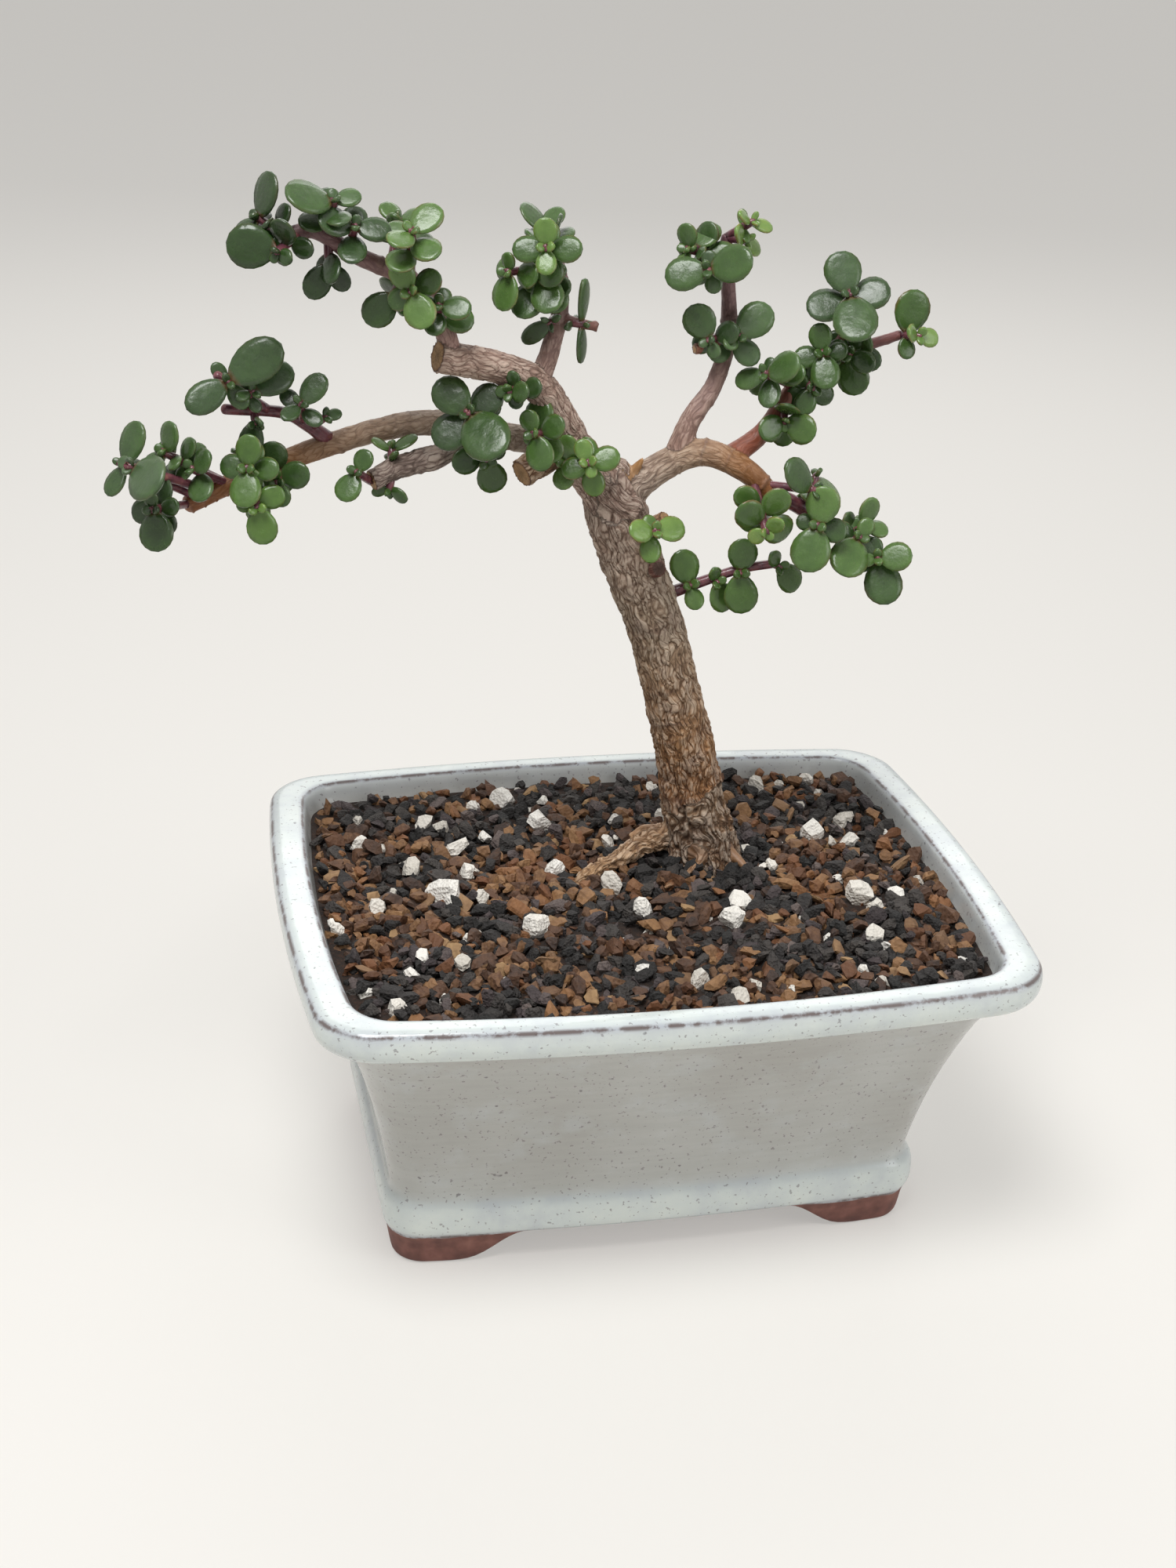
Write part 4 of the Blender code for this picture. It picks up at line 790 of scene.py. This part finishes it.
# A leafy shoot is a short stem with opposite pairs of leaves, each pair a quarter turn from
# the one before. It grows from the middle of a limb: share is how far along the limb it
# starts, and reach is how far right, back and up its tip lies from there. turn is the angle
# of the last pair about the stem. pairs holds the two leaf lengths of every pair, from the
# base to the tip (0 is a lost leaf). lift is how far the last pair leans towards the tip,
# face is how strongly the blades turn to the light, and internode is the space between pairs.
Shoot = namedtuple("Shoot", "node limb share reach turn pairs lift face internode",
                   defaults=(12, 1.0, 2.6))
SHOOTS = [
    Shoot("upper_left_tip", "upper_left_stem", 0.93, (-6, -7, -3), 165, ((5, 8.5), (13, 5)), 20),
    Shoot("upper_left_outer", "upper_left_stem", 1.0, (-6, 0, 4), 90, ((6, 6), (12, 7)), 25),
    Shoot("upper_left_crown", "upper_left_stem", 0.8, (1, -4, 10), 180, ((8, 8), (13, 7)), 15),
    Shoot("upper_left_front", "upper_left_stem", 0.7, (1, -6, 7), 165, ((10, 9),)),
    Shoot("upper_left_under", "upper_left_stem", 0.8, (0, -1, -6), 0, ((8, 10),), 55),
    Shoot("upper_left_inner", "upper_left_stem", 0.4, (-1, -8, 14), 50, ((8, 9), (10, 8.5)), 15),
    Shoot("upper_left_back", "upper_left_stem", 0.5, (3, 6, 11), 0, ((6, 6), (7, 6)), 40),
    Shoot("upper_left_face", "upper_left_stem", 0.35, (-3, -7, 1), 120, ((8.5, 10),)),
    Shoot("upper_left_root", "upper_left_stem", 0.2, (-1, -5, 4), -10, ((6, 7), (8.5, 5)), 10),
    Shoot("upper_left_low", "upper_left_stem", 0.45, (-1, 2, -5), 0, ((10.5, 8),), 45),
    Shoot("left_twig", "left_twig_fork", 0.8, (0, -3, 1), 35, ((6, 8), (17, 13)), 8, 0.4),
    Shoot("left_twig", "left_twig_fork", 0.4, (1, -3, 2), 20, ((6, 5), (13, 5)), 8, 0.5),
    Shoot("left_twig", "left_twig", 0.75, (0, -2, -2), 255, ((11, 5),), 40),
    Shoot("left_twig", "left_twig", 0.3, (-1, -8, 7), 50, ((7, 7), (10, 7)), 15),
    Shoot("left_twig", "left_twig", 0.2, (3, -5, 4), 0, ((5, 5),), 20),
    Shoot("left_middle_front", "left_branch", 0.8, (-5, -14, 5), 90, ((8, 8), (9, 10.5))),
    Shoot("left_middle_hanging", "left_branch", 0.84, (1, -17, -3), 105, ((5, 8), (0, 10.5))),
    Shoot("left_middle_inner", "left_branch", 0.75, (-2, -10, -2), 105, ((5, 9), (5, 7)), 15),
    Shoot("left_middle_back", "left_branch", 0.8, (-5, 3, 4), 75, ((5, 5), (6, 5)), 10),
    Shoot("left_tip_end", "left_branch", 0.97, (-20, -10, 13), 90, ((7, 7), (12, 9)), 8, 1, 6),
    Shoot("left_tip_front", "left_branch", 0.93, (-22, -18, 13), -10, ((15, 4.5),)),
    Shoot("left_tip_upper", "left_branch", 0.89, (-17, -6, 11), 75, ((7, 6), (9, 7)), 20),
    Shoot("left_tip_upper", "left_branch", 0.89, (-10, -8, 7), 40, ((8, 5),)),
    Shoot("left_tip_lower", "left_branch", 1.0, (-10, -16, 4), -75, ((6, 8), (11, 5))),
    Shoot("left_stub_end", "left_stub", 1.0, (-4, -5, 4), 80, ((6.5, 8.5),), 5),
    Shoot("left_stub_upper", "left_stub", 0.8, (0, 2, 5), 0, ((5, 6), (6, 8)), 30),
    Shoot("left_stub_lower", "left_stub", 0.8, (-1, -2, -4), 0, ((6, 5),), 30),
    Shoot("centre_rosette", "left_branch", 0.2, (-10, -21, 12), 140, ((8, 8), (12, 10.5), (12, 16))),
    Shoot("centre_upper", "left_limb", 0.6, (-7, -8, 0), 10, ((5, 5), (7, 4)), 20),
    Shoot("centre_right", "left_limb", 0.35, (-11, -12, 3), -60, ((8, 5), (10, 6.5))),
    Shoot("centre_lower", "left_branch", 0.25, (2, -12, -5), -70, ((6, 9), (10, 7)), 15),
    Shoot("fork_rosette", "left_limb", 0.15, (-4, -14, 7), 110, ((7.5, 8.5), (6.5, 4)), 5),
    Shoot("fork_lower", "left_limb", 0.2, (-6, -7, 2), 90, ((8, 7),), 15),
    Shoot("top_rosette", "top_stem", 0.94, (-6, -17, 6), 95, ((9, 9), (7.5, 7)), 15),
    Shoot("top_back", "top_stem", 1.0, (-1, 2, 4), 0, ((8, 8), (10, 8)), 45),
    Shoot("top_drooping", "top_stem", 0.87, (-15, -10, 1), -90, ((10, 5),), 10, 0.5),
    Shoot("top_middle", "top_stem", 0.72, (-7, -10, 6), -60, ((6, 6), (11, 5))),
    Shoot("top_middle", "top_stem", 0.72, (-6, -6, 4), -105, ((12, 5),)),
    Shoot("top_side", "top_stem", 0.5, (6, -3, 0), 90, ((5, 6), (12, 10.5)), 5, 0.3),
    Shoot("top_lower", "top_stem", 0.55, (-3, -4, -1), -140, ((10, 4),), 10, 0.6),
    Shoot("right_top_pair", "right_top_stem", 0.85, (-9, -13, 4), 20, ((5, 6), (13, 11.5))),
    Shoot("right_top_end", "right_top_stem", 1.0, (5, -5, 5), 150, ((5, 5), (6.5, 7)), 15),
    Shoot("right_top_end", "right_top_stem", 1.0, (4, -4, 0), -30, ((8, 9),), 10),
    Shoot("right_top_left", "right_top_stem", 0.92, (-12, -5, 3), 90, ((6, 5), (7, 5)), 20),
    Shoot("right_top_left", "right_top_stem", 0.92, (-10, -4, 3), 90, ((9, 0),), -35),
    Shoot("right_top_low_left", "right_top_stem", 0.6, (-7, -8, 0), 120, ((10.5, 5),)),
    Shoot("right_top_low_right", "right_top_stem", 0.55, (1, -7, 4), 35, ((5, 9), (12, 5))),
    Shoot("right_crown", "right_stem", 0.9, (-5, -12, 11), 110, ((12, 11), (12, 15))),
    Shoot("right_tip", "right_tip_stem", 1.0, (3, -5, 1), -15, ((12.5, 6.5), (7, 6)), 15, 1, 4),
    Shoot("right_middle", "right_stem", 0.7, (-4, -10, 4), 105, ((8, 10),)),
    Shoot("right_under", "right_tip_stem", 0.4, (-4, -8, 1), -20, ((8, 6), (8, 6)), 15),
    Shoot("right_under", "right_tip_stem", 0.4, (-5, -5, -1), -50, ((11, 5),), 10),
    Shoot("right_left_side", "right_stem", 0.5, (-11, -8, 6), 25, ((5, 9), (12, 9))),
    Shoot("right_low", "right_stem", 0.55, (0, -9, 0), -120, ((8, 5), (7.5, 5))),
    Shoot("right_root", "right_stem", 0.4, (-1, -6, -3), 0, ((10, 9),), 40),
    Shoot("trunk_rosette", "trunk", 0.85, (4, -15, 9), 175, ((8, 5), (8, 9)), 8),
    Shoot("trunk_side_shoot", "trunk_side_shoot", 0.25, (0, -2, 1), 105, ((10.5, 7),), 10),
    Shoot("trunk_side_shoot", "trunk_side_shoot", 0.45, (1, -2, 0), -65, ((10, 5),), 10),
    Shoot("trunk_side_shoot", "trunk_side_shoot", 0.7, (0, -2, 0), 90, ((10, 12),), 5),
    Shoot("trunk_side_shoot", "trunk_side_shoot", 1.0, (1, -2, 0), 130, ((6, 10),), 10),
    Shoot("low_right_rosette", "right_limb", 0.85, (0, -15, -10), 55, ((8, 9.5), (10, 11), (6, 5.5)), 7),
    Shoot("low_right_upper", "right_limb", 0.9, (12, -9, 1), 135, ((13, 6),), -20),
    Shoot("low_right_twig", "low_right_twig", 0.35, (3, 3, 9), 225, ((10, 5),), -25),
    Shoot("low_right_twig", "low_right_twig", 0.5, (-5, -13, 4), 80, ((6, 8), (11, 13)), 8),
    Shoot("low_right_twig", "low_right_twig", 0.75, (1, -7, 4), -125, ((7, 7), (13, 6))),
    Shoot("low_right_twig", "low_right_twig", 0.7, (6, -1, 4), 90, ((6, 6), (8.5, 7)), 45),
    Shoot("low_right_twig", "low_right_twig", 1.0, (-2, -6, 3), 15, ((6, 13), (9.5, 5)), 9),
]

SHOOT_RADIUS = 1.2
BUD = 1.2                        # growing tip beyond the last pair
LEAF_THICK = 0.16                # half a blade's thickness for each mm of its length
PETIOLE = 0.32
OLDER_LEAF = (6.5, 9.5)          # lengths of the old pair left behind the listed ones, mm
# Shoots that show bare stem below their leaves
OPEN_SHOOTS = ("left_twig", "left_stub_upper", "left_stub_lower", "left_stub_end", "left_tip_end",
               "left_tip_front", "top_side", "top_lower", "trunk_side_shoot", "trunk_rosette",
               "right_top_end", "right_tip", "low_right_upper")
LIGHT = Vector((-0.25, -0.75, 0.6)).normalized()
LIFT_STEP = 8                    # degrees each older pair has opened beyond the next
# How far along the blade, and how wide there: half widths for a blade 1 long.
OUTLINE = ((0.0, 0.0), (0.03, 0.10), (0.11, 0.22), (0.24, 0.335), (0.40, 0.415), (0.57, 0.44),
           (0.73, 0.405), (0.86, 0.315), (0.955, 0.185), (1.0, 0.0))

# How the leaves of a shoot look: tone from dark 0 to yellow-green 1, waxy bloom, red edge.
# Young leaves at a shoot's heart are lighter than that by the last number.
LEAF_LOOKS = {
    "upper_left_tip": (0.14, 0.1, 0.1, 0.1), "upper_left_outer": (0.16, 0.2, 0.1, 0.1),
    "upper_left_crown": (0.26, 0.35, 0.1, 0.1), "upper_left_front": (0.22, 0.3, 0.1, 0.1),
    "upper_left_under": (0.14, 0.2, 0.0, 0.0), "upper_left_inner": (0.5, 0.3, 0.4, 0.15),
    "upper_left_back": (0.36, 0.2, 0.2, 0.1), "upper_left_face": (0.46, 0.25, 0.6, 0.15),
    "upper_left_root": (0.36, 0.2, 0.3, 0.1), "upper_left_low": (0.3, 0.2, 0.2, 0.0),
    "left_twig": (0.24, 0.3, 0.1, 0.1), "left_middle_front": (0.38, 0.1, 0.3, 0.25),
    "left_middle_hanging": (0.56, 0, 0.2, 0.1), "left_middle_inner": (0.34, 0.1, 0.2, 0.1),
    "left_middle_back": (0.26, 0.3, 0.1, 0.1), "left_tip_end": (0.22, 0.25, 0.1, 0.1),
    "left_tip_front": (0.2, 0.65, 0.1, 0.1), "left_tip_upper": (0.34, 0.3, 0.1, 0.1),
    "left_tip_lower": (0.2, 0.2, 0.1, 0.1), "left_stub_end": (0.3, 0.1, 0.1, 0.1),
    "left_stub_upper": (0.38, 0.1, 0.2, 0.1), "left_stub_lower": (0.3, 0.1, 0.1, 0.0),
    "centre_rosette": (0.2, 0.2, 0.1, 0.05), "centre_upper": (0.28, 0.1, 0.1, 0.1),
    "centre_right": (0.4, 0.1, 0.2, 0.1), "centre_lower": (0.3, 0.1, 0.2, 0.1),
    "fork_rosette": (0.54, 0, 0.6, 0.25), "fork_lower": (0.5, 0.1, 0.3, 0.1),
    "top_rosette": (0.4, 0.1, 0.3, 0.5), "top_back": (0.3, 0.3, 0.1, 0.1),
    "top_drooping": (0.44, 0.1, 0.3, 0.1), "top_middle": (0.34, 0.2, 0.1, 0.1),
    "top_side": (0.22, 0.3, 0.1, 0.1), "top_lower": (0.26, 0.5, 0.1, 0.0),
    "right_top_pair": (0.28, 0.3, 0.1, 0.1), "right_top_end": (0.55, 0.1, 0.6, 0.4),
    "right_top_left": (0.36, 0.2, 0.3, 0.2), "right_top_low_left": (0.26, 0.3, 0.1, 0.1),
    "right_top_low_right": (0.34, 0.55, 0.1, 0.1), "right_crown": (0.2, 0.4, 0.1, 0.1),
    "right_tip": (0.34, 0.1, 0.5, 0.65), "right_middle": (0.32, 0.1, 0.1, 0.1),
    "right_under": (0.26, 0.1, 0.1, 0.1), "right_left_side": (0.36, 0.3, 0.1, 0.1),
    "right_low": (0.28, 0.1, 0.1, 0.1), "right_root": (0.4, 0.1, 0.3, 0.1),
    "trunk_rosette": (0.55, 0, 0.7, 0.2), "trunk_side_shoot": (0.42, 0.1, 0.2, 0.1),
    "low_right_rosette": (0.5, 0.1, 0.6, 0.45), "low_right_upper": (0.24, 0.35, 0.1, 0.1),
    "low_right_twig": (0.34, 0.25, 0.3, 0.3),
}

# Blades narrower than the common one
NARROW = {"top_side": 0.58, "top_lower": 0.62, "left_twig": 0.8, "left_tip_end": 0.8,
          "right_top_end": 0.7, "left_stub_upper": 0.75, "left_stub_lower": 0.75,
          "upper_left_under": 0.85, "right_left_side": 0.88, "low_right_upper": 0.8}


def blade():
    """A leaf 1 long: a uv sphere with its poles at stalk and tip, shaped ring by ring."""
    bpy.ops.object.select_all(action="DESELECT")
    bpy.ops.mesh.primitive_uv_sphere_add(segments=10, ring_count=9, radius=1)
    leaf = bpy.context.object
    for vert in leaf.data.vertices:
        x, y, z = vert.co
        level = round(math.degrees(math.acos(max(-1, min(1, z)))) / 20)
        along, width = OUTLINE[level]
        ring_radius = math.hypot(x, y)
        across, through = (x / ring_radius, y / ring_radius) if ring_radius > 1e-4 else (0, 0)
        full = min(1.0, 0.35 + 1.6 * math.sin(math.pi * min(along * 0.92 + 0.04, 1)) ** 0.8)
        dish = 0.10 * across * across * width * 2
        vert.co = (along, across * width,
                   through * full * (0.62 if through > 0 else 1.0) * 0.5 + dish)
    mesh = leaf.data.copy()
    bpy.data.objects.remove(leaf)
    return mesh


leaf_blade = blade()
along_blade, to_edge = [], []
for vert in leaf_blade.vertices:
    half_width = 0.43 * math.sin(math.pi * min(vert.co.x * 0.9 + 0.1, 1)) ** 0.5
    along_blade.append(vert.co.x)
    to_edge.append(min(1.0, abs(vert.co.y) / max(1e-4, half_width)))
for key, values in (("leaf_along", along_blade), ("leaf_edge", to_edge)):
    leaf_blade.attributes.new(key, "FLOAT", "POINT").data.foreach_set("value", values)


def placed_leaf(start, direction, normal, length, width, look, rng, young):
    """A blade from start along direction with its upper face towards normal."""
    direction = (direction + Vector([rng.gauss(0, 0.05) for _ in "xyz"])).normalized()
    normal = (normal - direction * normal.dot(direction)).normalized()
    side = direction.cross(normal)
    thick = max(LEAF_THICK * length, 1.6) * 1.05
    width *= rng.uniform(0.94, 1.06)
    matrix = Matrix.Identity(4)
    for column, axis in enumerate((direction * length, side * -length * width, normal * thick)):
        for row in range(3):
            matrix[row][column] = axis[row] / 1000
    matrix.translation = at(*start)
    tone, bloom, red, lighter = look
    tone = min(1.0, max(0.02, tone + 0.6 * lighter * young + rng.uniform(-0.07, 0.07)))
    return (leaf_blade, matrix,
            {"tone": tone, "bloom": bloom * rng.uniform(0.7, 1.2), "red": red, "stem": 0.0})


# Living leaf and stem, as they grew: thick leaf skin is glossy green, duller and greyer under
# its waxy bloom, redder on sunlit edges; stems are satin and red-purple.
leafy, shader, node = new_material("succulent_leaf_and_stem")
place = node("TexCoord", out="Object")
tone, wax, red, edge, along, is_stem = [
    node("Attribute", out="Fac", attribute_name=name)
    for name in ("tone", "bloom", "red", "leaf_edge", "leaf_along", "stem")]
mottled = node("TexNoise", {"Vector": place, "Scale": 1000 / 3.8, "Detail": 4.0, "Roughness": 0.6}, "Fac")
level = node("MapRange", {"Value": mottled, 1: 0.0, 2: 1.0, 3: -0.11, 4: 0.11})
level = node("Math", {0: tone, 1: level}, operation="ADD")
level = node("Math", {0: edge, 1: 0.06, 2: level}, operation="MULTIPLY_ADD")
colour = node("ValToRGB", {0: level}, stops=((0.05, "#1A290F"), (0.25, "#293F1B"), (0.45, "#3F5A27"),
                                             (0.62, "#557235"), (0.8, "#6F8C45"), (1.0, "#929F50")))
powder = node("TexNoise", {"Vector": place, "Scale": 1000 / 8, "Detail": 3.0}, "Fac")
powder = node("ValToRGB", {0: powder}, stops=((0.3, 0.35), (0.7, 1.0)))
wax = node("Math", {0: wax, 1: powder}, operation="MULTIPLY")
veil = node("Math", {0: wax, 1: 0.42}, operation="MULTIPLY")
rim = node("ValToRGB", {0: edge}, stops=((0.86, 0.0), (1.0, 0.55)))
rim = node("Math", {0: rim, 1: red}, operation="MULTIPLY", use_clamp=True)
stalk = node("ValToRGB", {0: along}, stops=((0.02, 0.7), (0.14, 0.0)))
skin = node("TexNoise", {"Vector": place, "Scale": 1000 / 2, "Detail": 4.0}, "Fac")
skin = node("ValToRGB", {0: skin}, stops=((0.3, "#4E2C36"), (0.6, "#74434A"), (0.8, "#8E5F50")))
for cover, over in ((veil, "#74886E"), (rim, "#8C3A38"), (stalk, "#7A4238"), (is_stem, skin)):
    colour = node("Mix", {0: cover, 6: colour, 7: over}, 2, data_type="RGBA")
sheen = node("MapRange", {"Value": mottled, 1: 0.3, 2: 0.7, 3: 0.17, 4: 0.29})
roughness = node("Math", {0: wax, 1: 0.25, 2: sheen}, operation="MULTIPLY_ADD")
dimples = node("TexNoise", {"Vector": place, "Scale": 1000 / 2.4, "Detail": 4.0}, "Fac")
bump = node("Bump", {"Height": dimples, "Strength": 0.3, "Distance": 0.0006})
plug(shader, {"Base Color": colour, "Roughness": roughness, "Normal": bump,
              "Specular IOR Level": 0.42, "Subsurface Weight": 0.12,
              "Subsurface Radius": (0.4, 1.0, 0.2), "Subsurface Scale": 0.0015})


def place_along(limb_name, share):
    """The point that far along the middle of a limb, as a share of its length."""
    points = [Vector(point[:3]) for point in {**WOOD, **TWIGS}[limb_name]]
    left = share * sum((end - start).length for start, end in zip(points, points[1:]))
    for start, end in zip(points, points[1:]):
        length = (end - start).length
        if left <= length:
            return start.lerp(end, left / length)
        left -= length
    return points[-1]


for number, node_name in enumerate(dict.fromkeys(shoot.node for shoot in SHOOTS)):
    rng = random.Random(100 + number)
    parts = [limb("stem", route, 10, 2.0, 0.8)
             for twig, route in TWIGS.items() if twig.startswith(node_name)]
    leaves = []
    for shoot in [shoot for shoot in SHOOTS if shoot.node == node_name]:
        base = place_along(shoot.limb, shoot.share)
        tip = base + Vector(shoot.reach)
        axis = (tip - base).normalized()
        bud = tip + axis * BUD
        parts.append(limb("stem", [(*base, SHOOT_RADIUS), (*tip, SHOOT_RADIUS * 0.95),
                                   (*bud, 0.6)], 8, 2.0, 0.8))
        up = (Vector((0, 0, 1)) - axis * axis.z).normalized()
        out = up.cross(axis)
        look, width = LEAF_LOOKS[node_name], NARROW.get(node_name, 1.0)
        pairs = shoot.pairs
        if node_name not in OPEN_SHOOTS:
            pairs = ((rng.uniform(*OLDER_LEAF), rng.uniform(*OLDER_LEAF)), *pairs)
        for age, pair in enumerate(reversed(pairs)):
            angle = math.radians(shoot.turn + 90 * age)
            radial = out * math.cos(angle) + up * math.sin(angle)
            lift = math.radians(shoot.lift - LIFT_STEP * age)
            joint = tip - axis * min(shoot.internode * age, 0.9 * (tip - base).length)
            for sign, length in zip((1, -1), pair):
                if not length:
                    continue
                direction = radial * (sign * math.cos(lift)) + axis * math.sin(lift)
                normal = axis + LIGHT * shoot.face
                start = joint + direction * PETIOLE
                leaves.append(placed_leaf(start, direction, normal, length, width, look, rng,
                                          1.0 if age == 0 else 0.0))
        angle = math.radians(shoot.turn + 90)      # the next pair, still in the bud
        radial = out * math.cos(angle) + up * math.sin(angle)
        for sign in (1, -1):
            direction = (radial * sign * 0.72 + axis * 0.7).normalized()
            leaves.append(placed_leaf(tip + axis * 0.5, direction, axis + LIGHT, 3.1, width, look,
                                      rng, 0.8))
    piece = joined_copies("shoot_" + node_name, leaves)
    for part in parts:
        mark(part.data, {"tone": 0.3, "bloom": 0.1, "red": 0.0, "leaf_along": 1.0,
                         "leaf_edge": 0.0, "stem": 1.0})
    select(piece, *parts)
    bpy.ops.object.join()
    bpy.ops.object.shade_smooth()
    piece.data.materials.clear()
    piece.data.materials.append(leafy)
    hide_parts(node_name)
    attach(piece, "root")


# Drainage: a square of black moulded plastic mesh over each hole, held by a bent piece of
# soft aluminium wire that goes down through the hole and out under the floor.
plastic, shader, node = new_material("moulded_black_polyethylene")
place = node("TexCoord", out="Object")
dust = node("TexNoise", {"Vector": place, "Scale": 1000 / 2, "Detail": 4.0}, "Fac")
colour = node("ValToRGB", {0: dust}, stops=((0.4, "#1B1B1C"), (0.75, "#3A332D")))
roughness = node("MapRange", {"Value": dust, 1: 0.3, 2: 0.7, 3: 0.42, 4: 0.7})
plug(shader, {"Base Color": colour, "Roughness": roughness})
wire, shader, node = new_material("drawn_aluminium_wire")
place = node("Mapping", {"Vector": node("TexCoord", out="Object"), "Scale": (0.1, 1, 1)})
lines = node("TexNoise", {"Vector": place, "Scale": 1000 / 2.5, "Detail": 4.0}, "Fac")
colour = node("ValToRGB", {0: lines}, stops=((0.3, "#8E8A85"), (0.7, "#B8B4AE")))
roughness = node("MapRange", {"Value": lines, 1: 0.3, 2: 0.7, 3: 0.34, 4: 0.52})
plug(shader, {"Base Color": colour, "Roughness": roughness, "Metallic": 1.0})
for side in ("left", "right"):
    for node_name, finish in (("drain_screen_" + side, plastic), ("screen_clip_" + side, wire)):
        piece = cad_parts[node_name]
        piece.data.materials.clear()
        piece.data.materials.append(finish)
